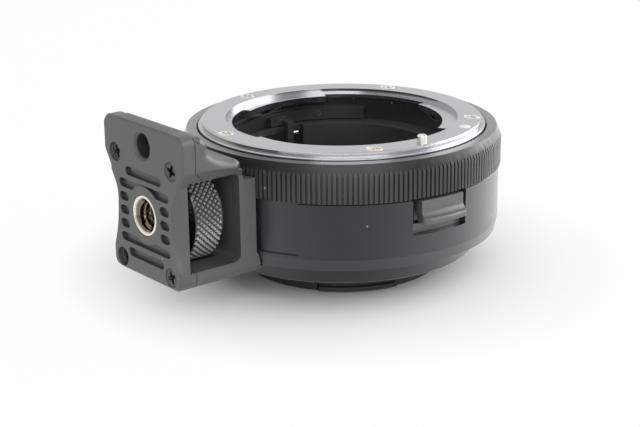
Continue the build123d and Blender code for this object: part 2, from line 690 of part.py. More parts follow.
def lever_plan():
    """Upright prism over the lever's plan, with the lip's outer corners rounded."""
    side = radians(LEVER_HALF_ANGLE)
    lip = CenterArc((0, 0), LEVER_LIP_R, -LEVER_HALF_ANGLE, 2 * LEVER_HALF_ANGLE)
    near = TONGUE_INNER_R * Vector(cos(side), sin(side))
    back = Polyline(lip @ 1, near, (near.X, -near.Y), lip @ 0)
    plan = make_face([lip, back])
    plan = fillet(plan.vertices().sort_by(Axis.X)[-2:], LEVER_CORNER_R)
    return extrude(plan, LEVER_TOP)


def make_release_lever():
    """Thumb lever: a scooped face with a lip, a tail behind the guide and a tongue for the pin."""
    lip_round = LEVER_LIP_THICK / 2
    lip_front = GUIDE_R + SLIDE_GAP
    tail_out = GUIDE_R - GUIDE_THICK - SLIDE_GAP
    back_r = WINDOW_BACK_R + SLIDE_GAP
    lip_edge = LEVER_LIP_R - lip_round / 2
    scoop = SagittaArc((LEVER_FACE_R, LEVER_SCOOP_START), (lip_edge, LEVER_LIP_TOP), -LEVER_SCOOP_SAG)
    nose = ThreePointArc(
        (lip_edge, LEVER_LIP_TOP),
        (LEVER_LIP_R, LEVER_LIP_TOP - lip_round),
        (lip_edge, LEVER_LIP_LOW),
    )
    rest = Polyline(
        (lip_edge, LEVER_LIP_LOW),
        (lip_front, LEVER_LIP_LOW),
        (lip_front, WEB_LOW),
        (tail_out, WEB_LOW),
        (tail_out, TAIL_LOW),
        (back_r, TAIL_LOW),
        (back_r, LEVER_TOP),
        (LEVER_FACE_R, LEVER_TOP),
        (LEVER_FACE_R, LEVER_SCOOP_START),
    )
    section = Plane.XZ * make_face([scoop, nose, rest])
    blade = revolve(section, Axis.Z, 2 * LEVER_HALF_ANGLE)
    blade = Rot(0, 0, RELEASE_ANGLE - LEVER_HALF_ANGLE) * blade
    blade &= Rot(0, 0, RELEASE_ANGLE) * lever_plan()
    tongue = Box(
        back_r + SLIDE_GAP - TONGUE_INNER_R,
        TONGUE_WIDTH,
        LEVER_TOP - TAIL_LOW,
        align=(Align.MIN, Align.CENTER, Align.MIN),
    )
    lever = blade + on_angle(PIN_ANGLE, TONGUE_INNER_R, TAIL_LOW) * tongue
    return lever - pin_place * rod(PIN_R + SEAT_GAP, TAIL_LOW + PIN_R, LEVER_TOP + BEYOND)


def make_lever_guide():
    """Curved plate low in the window that keeps the lever's tail in."""
    half = WINDOW_HALF_ANGLE - degrees(asin(SEAT_GAP / GUIDE_R))
    return sector(GUIDE_R - GUIDE_THICK, GUIDE_R, WINDOW_LOW, GUIDE_TOP, RELEASE_ANGLE, half)


def make_lock_pin():
    """Pin that stands out of the lens flange, with a crowned tip."""
    tip = FLANGE_DISTANCE + PIN_STAND
    pin = turned([
        (0, TAIL_LOW + PIN_R + SEAT_GAP),
        (PIN_R, TAIL_LOW + PIN_R + SEAT_GAP),
        (PIN_R, tip - PIN_CROWN),
        (PIN_R - PIN_CROWN, tip),
        (0, tip),
    ])
    return pin_place * pin


def make_release_spring():
    """Coil spring between the bottom of its pocket and the lever's tongue."""
    low = SPRING_POCKET_LOW + SPRING_WIRE / 2 + SEAT_GAP
    high = TAIL_LOW - SPRING_WIRE / 2 - SEAT_GAP
    path = Helix((high - low) / SPRING_TURNS, high - low, SPRING_R)
    section = Plane(path @ 0, z_dir=path % 0) * Circle(SPRING_WIRE / 2)
    return pin_place * Pos(0, 0, low) * sweep(section, path=path)


def foot_outline():
    """Front view of the foot: narrow below, with wider ears above."""
    face = make_face(Polyline(
        (-FOOT_HALF_LOW, FOOT_BOTTOM),
        (FOOT_HALF_LOW, FOOT_BOTTOM),
        (FOOT_HALF_LOW, EAR_START),
        (FOOT_HALF_TOP, EAR_FULL),
        (FOOT_HALF_TOP, FOOT_TOP),
        (-FOOT_HALF_TOP, FOOT_TOP),
        (-FOOT_HALF_TOP, EAR_FULL),
        (-FOOT_HALF_LOW, EAR_START),
        close=True,
    ))
    rows = face.vertices().group_by(Axis.Y)
    face = fillet(rows[2], EAR_CORNER_R)
    rows = face.vertices().group_by(Axis.Y)
    return fillet(rows[0] + rows[-1], FOOT_CORNER_R)


def side_view():
    """Plane of the foot's side view: local X outward along the foot, local Y up."""
    return Plane(origin=(0, 0, 0), x_dir=(0, -1, 0), z_dir=(-1, 0, 0))


def wheel_space():
    """Round space that the clamp wheel turns in."""
    return foot_axis(0, WHEEL_HEIGHT) * rod(WHEEL_R + WHEEL_GAP, WHEEL_NEAR - WHEEL_GAP, WHEEL_FAR + WHEEL_GAP)


def make_foot_frame():
    """Saddle, two bars and the horn behind the plate."""
    horn_top = FOOT_TOP - FOOT_BEVEL
    shoulder_end = SHOULDER_REACH + SHOULDER_WIDE
    outline = [
        Line((SADDLE_FACE - SADDLE_LEAN, SADDLE_TOP), (SHOULDER_REACH, SHOULDER_LOW)),
        SagittaArc((SHOULDER_REACH, SHOULDER_LOW), (shoulder_end, SHOULDER_HIGH), SHOULDER_SAG),
        SagittaArc((shoulder_end, SHOULDER_HIGH), (HORN_BACK, HORN_FOOT), -HORN_SAG),
        Line((HORN_BACK, HORN_FOOT), (HORN_BACK, horn_top - HORN_ROUND)),
        RadiusArc((HORN_BACK, horn_top - HORN_ROUND), (HORN_BACK + HORN_ROUND, horn_top), HORN_ROUND),
        Polyline(
            (HORN_BACK + HORN_ROUND, horn_top),
            (EAR_SEAM, horn_top),
            (EAR_SEAM, LIP_SEAM_TOP),
            (LIP_SEAM, WINDOW_TOP),
            (SADDLE_FACE, WINDOW_TOP),
            (SADDLE_FACE, WINDOW_FLOOR),
            (LOW_SEAM, WINDOW_FLOOR),
            (LOW_SEAM, FOOT_BOTTOM),
            (TOE_REACH, FOOT_BOTTOM),
            (TOE_REACH, SADDLE_TOP),
            (SADDLE_FACE - SADDLE_LEAN, SADDLE_TOP),
        ),
    ]
    profile = make_face(outline)
    corners = [vertex for vertex in profile.vertices() if abs(vertex.X - SADDLE_FACE) < SEAT_GAP]
    profile = fillet(corners, WINDOW_ROUND)
    frame = extrude(side_view() * profile, FOOT_HALF_TOP, both=True)
    frame &= extrude(Plane.XZ * foot_outline(), FOOT_REACH)
    frame -= turned([
        (0, BARREL_LOW - SLIDE_GAP),
        (TAPER_R + SLIDE_GAP, BARREL_LOW - SLIDE_GAP),
        (BARREL_R + SLIDE_GAP, TAPER_TOP),
        (SADDLE_R, SEAT_LOW),
        (SADDLE_R, FOOT_TOP),
        (0, FOOT_TOP),
    ])
    pad_low = SEAT_LOW + PAD_MARGIN
    pad_high = BARREL_TOP - PAD_MARGIN
    frame += sector(PAD_R, SADDLE_R + SLIDE_GAP, pad_low, pad_high, -90, PAD_HALF_ANGLE)
    frame -= wheel_space()
    stud_line = foot_axis(0, WHEEL_HEIGHT)
    frame -= stud_line * rod(STUD_R + SLIDE_GAP, 0, FOOT_REACH)
    frame -= stud_line * rod(CLIP_POCKET_R, 0, SADDLE_R)
    frame -= foot_axis(0, TWIST_HOLE_HEIGHT) * rod(TWIST_HOLE_R, FOOT_REACH - TWIST_HOLE_DEPTH, FOOT_REACH)
    for place in plate_screw_places:
        frame -= place * rod(PLATE_SCREW_R + SEAT_GAP, -PLATE_SCREW_LENGTH - SLIDE_GAP, 0)
    return frame


def cutter_wire(reach, low, high, side):
    """Closed outline of the side scoop's cutter, on a plane across the foot."""
    edge = FOOT_HALF_TOP + BEYOND
    rest = [
        Line(high, (edge, high[1])),
        Line((edge, high[1]), (edge, low[1])),
        Line((edge, low[1]), low),
    ]
    return Plane.XZ.offset(reach) * Wire([line.edge() for line in side + rest])


def waist_cutter():
    """Cutter for one side scoop: concave at the front face, straight at the plate's back."""
    lean = atan2(FOOT_HALF_TOP - FOOT_HALF_LOW, EAR_FULL - EAR_START)
    low = (FOOT_HALF_LOW, SCOOP_LOW)
    waist = (SCOOP_WAIST, SCOOP_CENTRE)
    upper = (SCOOP_WAIST + SCOOP_UPPER_R * (1 - cos(lean)), SCOOP_CENTRE + SCOOP_UPPER_R * sin(lean))
    top = (FOOT_HALF_LOW, EAR_START)
    front = [
        TangentArc(waist, low, tangent=(0, -1)),
        TangentArc(waist, upper, tangent=(0, 1)),
        Line(upper, top),
    ]
    far = FOOT_HALF_LOW + SCOOP_RUN_OUT
    heights = [SCOOP_LOW, SCOOP_CENTRE, upper[1], EAR_START]
    back = [Line((far, a), (far, b)) for a, b in zip(heights, heights[1:])]
    front_wire = cutter_wire(FOOT_REACH, low, top, front)
    back_wire = cutter_wire(PLATE_BACK - SCOOP_RUN_OUT, (far, SCOOP_LOW), (far, EAR_START), back)
    return Solid.make_loft([front_wire, back_wire], ruled=True)


def slot(low_side, high_side, height):
    """Flat slot with round ends, for the plate's grooves."""
    length = high_side - low_side
    return Pos((low_side + high_side) / 2, height) * SlotOverall(length, GROOVE_WIDE)


def groove_pattern():
    """All grooves of the plate's face, kept clear of the boss round the bush."""
    rows = [GROOVE_TOP - k * GROOVE_PITCH for k in range(GROOVE_COUNT)]
    pattern = Sketch()
    for height in (rows[0], rows[-1]):
        pattern += slot(-GROOVE_HALF_SHORT, GROOVE_HALF_SHORT, height)
    for height in (rows[1], rows[-2]):
        pattern += slot(-GROOVE_HALF_LONG, GROOVE_HALF_LONG, height)
    pattern -= Pos(0, BUSH_HEIGHT) * Circle(BOSS_R)
    for height in rows[2:-2]:
        pattern += slot(GROOVE_STUB_INNER, GROOVE_HALF_LONG, height)
        pattern += slot(-GROOVE_HALF_LONG, -GROOVE_STUB_INNER, height)
    return pattern


def make_foot_plate():
    """Grooved front plate with scooped sides, the bush's hole and the anti-twist hole."""
    blank = extrude(Plane.XZ.offset(LIP_SEAM) * foot_outline(), FOOT_REACH - LIP_SEAM)
    blank = chamfer(blank.faces().sort_by(Axis.Y)[0].edges(), FOOT_BEVEL)
    section = make_face(Polyline(
        (FOOT_REACH, FOOT_BOTTOM),
        (FOOT_REACH, FOOT_TOP),
        (EAR_SEAM + SEAM_GAP, FOOT_TOP),
        (EAR_SEAM + SEAM_GAP, LIP_SEAM_TOP),
        (LIP_SEAM + SEAM_GAP, WINDOW_TOP),
        (PLATE_BACK, WINDOW_TOP),
        (PLATE_BACK, WINDOW_FLOOR),
        (LOW_SEAM + SEAM_GAP, WINDOW_FLOOR),
        (LOW_SEAM + SEAM_GAP, FOOT_BOTTOM),
        close=True,
    ))
    plate = blank & extrude(side_view() * section, FOOT_HALF_TOP, both=True)
    cutter = waist_cutter()
    plate -= cutter
    plate -= mirror(cutter, Plane.YZ)
    plate -= wheel_space()
    plate -= extrude(Plane.XZ.offset(FOOT_REACH - GROOVE_DEPTH) * groove_pattern(), GROOVE_DEPTH)
    bush_line = foot_axis(0, BUSH_HEIGHT)
    plate -= bush_line * rod(BUSH_R + SEAT_GAP, 0, FOOT_REACH)
    twist_line = foot_axis(0, TWIST_HOLE_HEIGHT)
    plate -= twist_line * rod(TWIST_HOLE_R, 0, FOOT_REACH)
    mouth = FOOT_REACH - TWIST_HOLE_CHAMFER
    plate -= twist_line * turned([
        (0, mouth),
        (TWIST_HOLE_R, mouth),
        (TWIST_HOLE_R + TWIST_HOLE_CHAMFER, FOOT_REACH),
        (0, FOOT_REACH),
    ])
    for place in plate_screw_places:
        hole = screw_hole(PLATE_SCREW_HEAD_R, PLATE_SCREW_R, PLATE_SCREW_LENGTH, PLATE_SCREW_HEAD_GAP)
        plate -= place * hole
    return plate


def make_tripod_bush():
    """Steel bush with a collar behind the plate, a tapping-size bore and a wide chamfer."""
    rear = FOOT_REACH - BUSH_LENGTH
    collar_top = PLATE_BACK - SEAT_GAP
    bush = turned([
        (BUSH_THREAD_R, rear),
        (BUSH_R, rear),
        (BUSH_R, collar_top - BUSH_COLLAR_THICK),
        (BUSH_COLLAR_R, collar_top - BUSH_COLLAR_THICK),
        (BUSH_COLLAR_R, collar_top),
        (BUSH_R, collar_top),
        (BUSH_R, FOOT_REACH),
        (BUSH_THREAD_R + BUSH_CHAMFER, FOOT_REACH),
        (BUSH_THREAD_R, FOOT_REACH - BUSH_CHAMFER),
    ])
    return foot_axis(0, BUSH_HEIGHT) * bush


def knurled_band(width):
    """Closed round band whose side is rows of four-sided pyramids."""
    columns = 2 * KNURL_AROUND
    rows = 2 * KNURL_ROWS

    def corner(column, row):
        at_end = row in (0, rows)
        is_peak = (column + row) % 2 == 0 and not at_end
        radius = WHEEL_R if is_peak else WHEEL_R - KNURL_DEPTH
        turn = 2 * pi * (column % columns) / columns
        return Vector(radius * cos(turn), radius * sin(turn), width * row / rows)

    def facet(*corners):
        return Face(Wire.make_polygon(corners, close=True))

    faces = []
    for column in range(columns):
        for row in range(rows):
            near, right = corner(column, row), corner(column + 1, row)
            far, left = corner(column + 1, row + 1), corner(column, row + 1)
            if (column + row) % 2 == 0:
                faces += [facet(near, right, left), facet(right, far, left)]
            else:
                faces += [facet(near, right, far), facet(near, far, left)]
    faces.append(facet(*[corner(column, 0) for column in range(columns)]))
    faces.append(facet(*[corner(column, rows) for column in range(columns)]))
    return Solid(Shell(faces))


def make_clamp_wheel():
    """Diamond-knurled wheel with a hub that bears on the saddle's washer."""
    hub_in = WASHER_OUT + SEAT_GAP
    wheel = Pos(0, 0, WHEEL_NEAR) * knurled_band(WHEEL_WIDTH)
    wheel += rod(HUB_STEP_R, hub_in, WHEEL_NEAR + SLIDE_GAP)
    wheel -= rod(STUD_R + SEAT_GAP, 0, FOOT_REACH)
    return foot_axis(0, WHEEL_HEIGHT) * wheel


def make_clamp_stud():
    """Plain-bodied clamp screw with a groove for its clip."""
    stud = turned([
        (0, STUD_TIP),
        (STUD_R - EDGE_BREAK, STUD_TIP),
        (STUD_R, STUD_TIP + EDGE_BREAK),
        (STUD_R, CLIP_IN - SEAT_GAP),
        (CLIP_GROOVE_R, CLIP_IN - SEAT_GAP),
        (CLIP_GROOVE_R, CLIP_OUT + SEAT_GAP),
        (STUD_R, CLIP_OUT + SEAT_GAP),
        (STUD_R, WHEEL_FAR),
        (0, WHEEL_FAR),
    ])
    return foot_axis(0, WHEEL_HEIGHT) * stud


def make_stud_clip():
    """Spring clip in the stud's groove."""
    return foot_axis(0, WHEEL_HEIGHT) * tube(CLIP_GROOVE_R + SEAT_GAP, CLIP_R, CLIP_IN, CLIP_OUT)


def make_thrust_washer():
    """Washer between the saddle and the wheel's hub."""
    low = SADDLE_FACE + SEAT_GAP
    return foot_axis(0, WHEEL_HEIGHT) * tube(STUD_R + SLIDE_GAP, WASHER_R, low, low + WASHER_THICK)


nodes = {
    "barrel": make_barrel(),
    "front_mount": make_front_mount(),
    "front_mount_screws": joined(
        [p * flat_screw(MOUNT_SCREW_HEAD_R, MOUNT_SCREW_R, MOUNT_SCREW_LENGTH) for p in mount_screw_places]
    ),
    "index_dot": on_angle(DOT_ANGLE, DOT_PITCH_R, FLANGE_DISTANCE) * rod(DOT_R, -DOT_DEPTH, 0),
    "bayonet_springs": joined([make_leaf(k) for k in range(TAB_COUNT)]),
    "spring_rivets": joined([make_rivet(k) for k in range(TAB_COUNT)]),
    "inner_sleeve": make_inner_sleeve(),
    "rear_mount": make_rear_mount(),
    "rear_mount_screws": joined(
        [p * flat_screw(REAR_SCREW_HEAD_R, REAR_SCREW_R, REAR_SCREW_LENGTH) for p in rear_screw_places]
    ),
    "lever_guide": make_lever_guide(),
    "aperture_ring": make_aperture_ring(),
    "drive_screws": joined([make_drive_screw(angle) for angle in DRIVE_SCREW_ANGLES]),
    "lever_carrier": make_lever_carrier(),
    "aperture_arm": make_aperture_arm(),
    "arm_pin": make_arm_pin(),
    "arm_screws": joined([make_arm_screw(angle) for angle in ARM_SCREW_ANGLES]),
    "release_lever": make_release_lever(),
    "lock_pin": make_lock_pin(),
    "release_spring": make_release_spring(),
    "foot_frame": make_foot_frame(),
    "foot_plate": make_foot_plate(),
    "foot_plate_screws": joined(
        [p * flat_screw(PLATE_SCREW_HEAD_R, PLATE_SCREW_R, PLATE_SCREW_LENGTH) for p in plate_screw_places]
    ),
    "tripod_bush": make_tripod_bush(),
    "thrust_washer": make_thrust_washer(),
    "clamp_wheel": make_clamp_wheel(),
    "clamp_stud": make_clamp_stud(),
    "stud_clip": make_stud_clip(),
}

os.makedirs("parts", exist_ok=True)
for name, shape in nodes.items():
    export_step(shape, f"parts/{name}.step")
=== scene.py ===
"""Looks of a lens mount adapter with an aperture ring, a lens release and a tripod foot."""
from math import cos, hypot, pi, radians, sin

import bmesh
import bpy
from bpy.props import FloatProperty, FloatVectorProperty, IntProperty, PointerProperty
from mathutils import Matrix, Vector


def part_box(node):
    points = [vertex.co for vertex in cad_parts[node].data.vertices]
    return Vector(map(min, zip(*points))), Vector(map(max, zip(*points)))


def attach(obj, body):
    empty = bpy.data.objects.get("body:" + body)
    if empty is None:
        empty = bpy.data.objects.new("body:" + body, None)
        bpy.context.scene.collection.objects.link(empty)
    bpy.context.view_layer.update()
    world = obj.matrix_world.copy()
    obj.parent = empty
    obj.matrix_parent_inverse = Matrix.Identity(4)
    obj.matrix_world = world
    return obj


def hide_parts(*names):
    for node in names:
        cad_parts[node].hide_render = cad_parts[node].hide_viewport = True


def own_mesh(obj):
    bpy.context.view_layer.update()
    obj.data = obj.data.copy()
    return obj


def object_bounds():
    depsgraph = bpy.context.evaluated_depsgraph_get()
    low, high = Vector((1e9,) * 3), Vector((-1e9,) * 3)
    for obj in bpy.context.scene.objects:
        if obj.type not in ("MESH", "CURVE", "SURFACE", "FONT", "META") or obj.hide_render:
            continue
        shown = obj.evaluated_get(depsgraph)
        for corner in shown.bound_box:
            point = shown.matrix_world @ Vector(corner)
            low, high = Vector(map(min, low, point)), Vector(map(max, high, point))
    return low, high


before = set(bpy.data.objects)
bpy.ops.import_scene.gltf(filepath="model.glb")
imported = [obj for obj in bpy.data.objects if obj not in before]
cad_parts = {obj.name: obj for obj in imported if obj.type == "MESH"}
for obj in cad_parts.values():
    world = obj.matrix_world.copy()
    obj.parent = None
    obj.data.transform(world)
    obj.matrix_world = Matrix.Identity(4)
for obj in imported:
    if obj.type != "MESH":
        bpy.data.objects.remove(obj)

bl_info = {
    "name": "Lens mount adapter",
    "version": (1, 0, 0),
    "blender": (4, 5, 0),
    "location": "3D View > Sidebar > Adapter",
    "description": "Builds the looks of a lens mount adapter round its packed CAD model",
    "category": "Object",
}

CAD_LOW, CAD_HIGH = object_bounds()
MM = 0.001
MERGE = 1e-6
BUSH_LOW, BUSH_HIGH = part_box("tripod_bush")
BUSH_AXIS = (BUSH_LOW + BUSH_HIGH) / 2
WHEEL_LOW, WHEEL_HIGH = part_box("clamp_wheel")
WHEEL_AXIS = (WHEEL_LOW + WHEEL_HIGH) / 2
WHEEL_R = (WHEEL_HIGH.z - WHEEL_LOW.z) / 2
RING_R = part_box("aperture_ring")[1].x
BORE_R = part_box("inner_sleeve")[1].x
PLATE_LOW, PLATE_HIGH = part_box("foot_plate")
FRAME_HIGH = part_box("foot_frame")[1]
LENS_AXIS = (0.0, 0.0, 0.0)
UPRIGHT = (0.0, 0.0, 0.0)
LYING = (radians(90), 0.0, 0.0)

# Faces of a CAD copy that lie flatter than this to each other are joined
FLAT_ANGLE = radians(0.4)

# Where the foot's horn and shoulder have edges to round
HORN_SIDE = FRAME_HIGH.x - 1.3 * MM
HORN_SEAM = PLATE_HIGH.y - 1.5 * MM
HORN_LOW = FRAME_HIGH.z - 8.5 * MM
SHOULDER_LOW = FRAME_HIGH.z - 7.0 * MM
SHOULDER_START = HORN_SEAM + 8.7 * MM
HORN_TOP_SLANT = 0.3
HORN_SIDE_SLANT = 0.6

# Where one tone of a finish goes over into another: the bore's own tone, and the painted shade in the ring's
# grooves, the knurl's valleys, the bush's inside and the plate's grooves
BORE_START = BORE_R + 0.6 * MM
BORE_FULL = BORE_R + 0.4 * MM
RIDGE_START = RING_R - 0.1 * MM
KNURL_START = WHEEL_R - 0.25 * MM
THREAD_START = 0.1 * MM
THREAD_FULL = 0.35 * MM
SLOT_START = PLATE_LOW.y + 0.15 * MM
SLOT_FULL = PLATE_LOW.y + 0.45 * MM
SLOT_SIDE_START = PLATE_HIGH.x - 4.6 * MM
SLOT_SIDE_FULL = PLATE_HIGH.x - 5.0 * MM

# Grain, turning marks, dust and the gloss of an anodised film
GRAIN_DEPTH = 0.02 * MM
GRAIN_ROUGH_SPREAD = 0.05
TURNED_DEPTH = 0.01 * MM
TURNED_ROUGH_SPREAD = 0.04
DUST_PICK = 0.5
SPECK_RIM = 0.06
SPECK_CORE = 0.03
FILM_ROUGH = 0.25
FILM_FULL = 0.65

# Cross recess, thread and bead
RECESS_WAIST = 1.5
RECESS_TAPER = 0.72
FIRST_TURN = 20
TURN_STEP = 47
CREST_START = 0.44
CREST_END = 0.56
ROOT_SINK = 0.1 * MM
MOUTH_ROOM = 0.05 * MM
BEAD_DOME = 0.22 * MM

# Lamps: places to the right of, behind and above the object, sizes, and the heights that they aim at
KEY_PLACE = (0.62, 0.2, 0.3)
KEY_SIZE = (0.9, 0.5)
FRONT_PLACE = (0.1, -0.75, 0.42)
FRONT_SIZE = (0.9, 0.7)
TOP_PLACE = (-0.1, 0.25, 0.7)
TOP_SIZE = (1.0, 1.0)
LOW_AIM = 15 * MM
TOP_AIM = 20 * MM

# Half the table's side, the tent's slants in reflections, and the whiteness of the far table
TABLE_HALF = 3.0
TENT_DARK = -0.6
TENT_BRIGHT = 0.3
WHITE_SHARE = 0.95


def colour(name, description, value):
    """A colour that the user can change."""
    return FloatVectorProperty(
        name=name, description=description, default=value, size=3, min=0.0, max=1.0, subtype="COLOR"
    )


def length(name, description, value):
    """A length that the user can change, in metres."""
    return FloatProperty(
        name=name, description=description, default=value, min=0.0, precision=5, subtype="DISTANCE",
        unit="LENGTH",
    )


def share(name, description, value):
    """A share between nothing and the whole that the user can change."""
    return FloatProperty(
        name=name, description=description, default=value, min=0.0, max=1.0, subtype="FACTOR"
    )


def brightness(name, description, value):
    """A strength of light that the user can change."""
    return FloatProperty(name=name, description=description, default=value, min=0.0)


class AdapterFinishes(bpy.types.PropertyGroup):
    """Colours of the adapter's finishes, and of the painted shade in its grooves, valleys, screw recesses and
    bush.
    """

    barrel: colour("Barrel", "Satin anodised barrel", (0.015, 0.017, 0.02))
    bore: colour("Bore", "Inside of the barrel under the lens flange", (0.018, 0.018, 0.018))
    ring: colour("Aperture ring", "Satin anodised ring", (0.04, 0.04, 0.039))
    # Painted shade laid into the ring's grooves and into the valleys of the wheel's knurling
    painted_groove_shade: colour("Grooves", "Floors of the grooves between the ridges", (0.008, 0.008, 0.008))
    foot: colour("Foot", "Fine blasted and anodised foot", (0.076, 0.076, 0.073))
    # Painted shade on the floors of the foot plate's grooves
    slot: colour("Plate grooves", "Floors of the grooves in the foot plate", (0.036, 0.036, 0.035))
    screw: colour("Black screws", "Black screws of the foot plate, the ring and the arm", (0.03, 0.03, 0.03))
    lever: colour("Lever", "Satin anodised release lever", (0.1, 0.101, 0.104))
    wheel: colour("Clamp wheel", "Dark anodised knurled wheel", (0.25, 0.25, 0.24))
    flange: colour("Lens flange", "Satin chrome plate", (0.5, 0.51, 0.53))
    nickel: colour("Nickel", "Nickel plated screws and pins", (0.82, 0.78, 0.71))
    bush: colour("Tripod bush", "Turned steel bush", (0.84, 0.8, 0.73))
    # Painted shade inside the tripod bush, behind its mouth
    thread_shade: colour("Bush thread", "Inside of the tripod bush", (0.22, 0.175, 0.135))
    spring: colour("Springs", "Spring steel", (0.8, 0.8, 0.78))
    baffle: colour("Baffle", "Matte black inside", (0.028, 0.028, 0.028))
    bayonet: colour("Camera bayonet", "Black anodised bayonet", (0.02, 0.02, 0.021))
    # Painted shade in the cross recesses of the nickel plated and the black screws
    recess_shade: colour("Nickel recess", "Cross recess of a nickel plated screw", (0.6, 0.53, 0.47))
    black_recess_shade: colour("Black recess", "Cross recess of a black screw", (0.008, 0.008, 0.008))
    bead: colour("Index bead", "White enamel", (0.85, 0.85, 0.82))
    dust: colour("Dust", "Small pale specks on the dark finishes", (0.4, 0.4, 0.39))


class AdapterSizes(bpy.types.PropertyGroup):
    """Sizes of the details that are modelled here."""

    edge: length("Edge break", "Rounding of the edges of the turned pieces", 0.2 * MM)
    soft_edge: length("Soft edge", "Rounding of the edges of the foot", 0.38 * MM)
    fine_edge: length("Fine edge", "Rounding of the edges of the small pieces", 0.09 * MM)
    horn_round: length("Horn round", "Rounding of the sides of the foot's horn", 1.6 * MM)
    thread_pitch: length("Thread pitch", "Pitch of the tripod thread", 1.27 * MM)
    thread_minor: length("Thread crest", "Radius of the crests of the tripod thread", 2.58 * MM)
    thread_major: length("Thread root", "Radius of the roots of the tripod thread", 3.12 * MM)
    bush_mouth: length("Bush mouth", "Radius of the bush's chamfer at its face", 3.75 * MM)
    bush_body: length("Bush body", "Radius of the bush's body", 4.2 * MM)
    collar_depth: length("Collar depth", "Depth of the bush's collar below its face", 2.45 * MM)
    collar_thick: length("Collar thickness", "Thickness of the bush's collar", 1.1 * MM)
    recess_depth: length("Recess depth", "Depth of the cross recess in a screw's head", 0.7 * MM)
    # Reach of the painted shade into the ring's grooves; the ridges themselves come from the CAD model
    ridge_shade_depth: length("Ridge depth", "Depth of the grooves between the ring's ridges", 0.35 * MM)
    # Reach of the painted shade into the knurl's valleys; the knurling itself comes from the CAD model
    knurl_shade_depth: length("Knurl depth", "Depth of the wheel's knurling", 0.6 * MM)
    recess_share: share("Recess reach", "Reach of the cross recess as a share of the head's radius", 0.72)
    recess_wide: share("Recess width", "Width of the cross recess as a share of the head's radius", 0.32)
    bead_share: share("Bead flare", "Overlap of the bead's dome on its hole as a share of its radius", 0.25)
    rim_share: share("Head rim", "Rounding of a screw head's rim as a share of its radius", 0.07)
    round_steps: IntProperty(
        name="Round steps", description="Steps of a full turn on small round pieces", default=40,
        min=12, max=96,
    )


class AdapterStage(bpy.types.PropertyGroup):
    """Camera, lights and floor."""

    azimuth: FloatProperty(
        name="Azimuth", description="Camera's turn from the foot's front", default=radians(50.84),
        subtype="ANGLE",
    )
    elevation: FloatProperty(
        name="Elevation", description="Camera's height angle", default=radians(17.856), subtype="ANGLE"
    )
    roll: FloatProperty(name="Roll", description="Camera's roll", default=radians(-0.594), subtype="ANGLE")
    distance: length("Distance", "Camera's distance from its target", 348.885 * MM)
    aside: FloatProperty(
        name="Aside", description="Target's place to the camera's right", default=-4.918 * MM, precision=5,
        unit="LENGTH",
    )
    above: length("Above", "Target's height", 5.84 * MM)
    lens: FloatProperty(name="Lens", description="Focal length in millimetres", default=87.72, min=1.0)
    world: brightness("Surroundings", "Light of the white tent", 0.38)
    behind: brightness("Behind", "Tent behind and above the object in reflections", 0.85)
    front: brightness("In front", "Tent low in front of the object in reflections", 0.45)
    key: brightness("Key", "Power of the large light at the right", 4.5)
    fill: brightness("Fill", "Power of the light in front", 4.3)
    top: brightness("Top", "Power of the light above", 0.8)
    floor: colour("Floor", "Pale table", (0.87, 0.87, 0.87))
    shadow_reach: length("Shadow reach", "Distance at which the table starts to fade to white", 27 * MM)
    white_reach: length("White reach", "Distance from which the table is white", 64 * MM)


def finishes():
    """The colours in use."""
    return bpy.context.scene.adapter_finishes


def sizes():
    """The sizes in use."""
    return bpy.context.scene.adapter_sizes


# Shader building


def add(tree, kind, **values):
    """A node with its plain settings."""
    made = tree.nodes.new(kind)
    for key, value in values.items():
        setattr(made, key, value)
    return made


def put(made, **values):
    """Constants on a node's own sockets."""
    for key, value in values.items():
        made.inputs[key.replace("_", " ")].default_value = value
    return made


def shader_group(name, inputs, outputs, fill):
    """A shader node group that is made once: its named sockets, and a function that adds its nodes."""
    found = bpy.data.node_groups.get(name)
    if found:
        return found
    tree = bpy.data.node_groups.new(name, "ShaderNodeTree")
    for label, kind, value in inputs:
        socket = tree.interface.new_socket(label, in_out="INPUT", socket_type=kind)
        if value is not None:
            socket.default_value = value
    for label in outputs:
        tree.interface.new_socket(label, in_out="OUTPUT", socket_type="NodeSocketFloat")
    fill(tree, add(tree, "NodeGroupInput").outputs, add(tree, "NodeGroupOutput").inputs)
    return tree


def fill_grain(tree, inward, outward):
    """Fine and coarse noise over the piece's own place."""
    place = add(tree, "ShaderNodeTexCoord")
    for label, detail in (("Fine", 2.0), ("Coarse", 4.0)):
        noise = put(add(tree, "ShaderNodeTexNoise"), Detail=detail, Roughness=0.6)
        tree.links.new(place.outputs["Object"], noise.inputs["Vector"])
        tree.links.new(inward[label + " Scale"], noise.inputs["Scale"])
        tree.links.new(noise.outputs["Fac"], outward[label])


def fill_axis(tree, inward, outward):
    """Distance from an axis and place along it, for places given with the axis as Z."""
    flat = add(tree, "ShaderNodeVectorMath", operation="MULTIPLY")
    flat.inputs[1].default_value = (1.0, 1.0, 0.0)
    radius = add(tree, "ShaderNodeVectorMath", operation="LENGTH")
    parts = add(tree, "ShaderNodeSeparateXYZ")
    tree.links.new(inward["Place"], flat.inputs[0])
    tree.links.new(inward["Place"], parts.inputs["Vector"])
    tree.links.new(flat.outputs["Vector"], radius.inputs[0])
    tree.links.new(radius.outputs["Value"], outward["Radius"])
    tree.links.new(parts.outputs["Z"], outward["Along"])


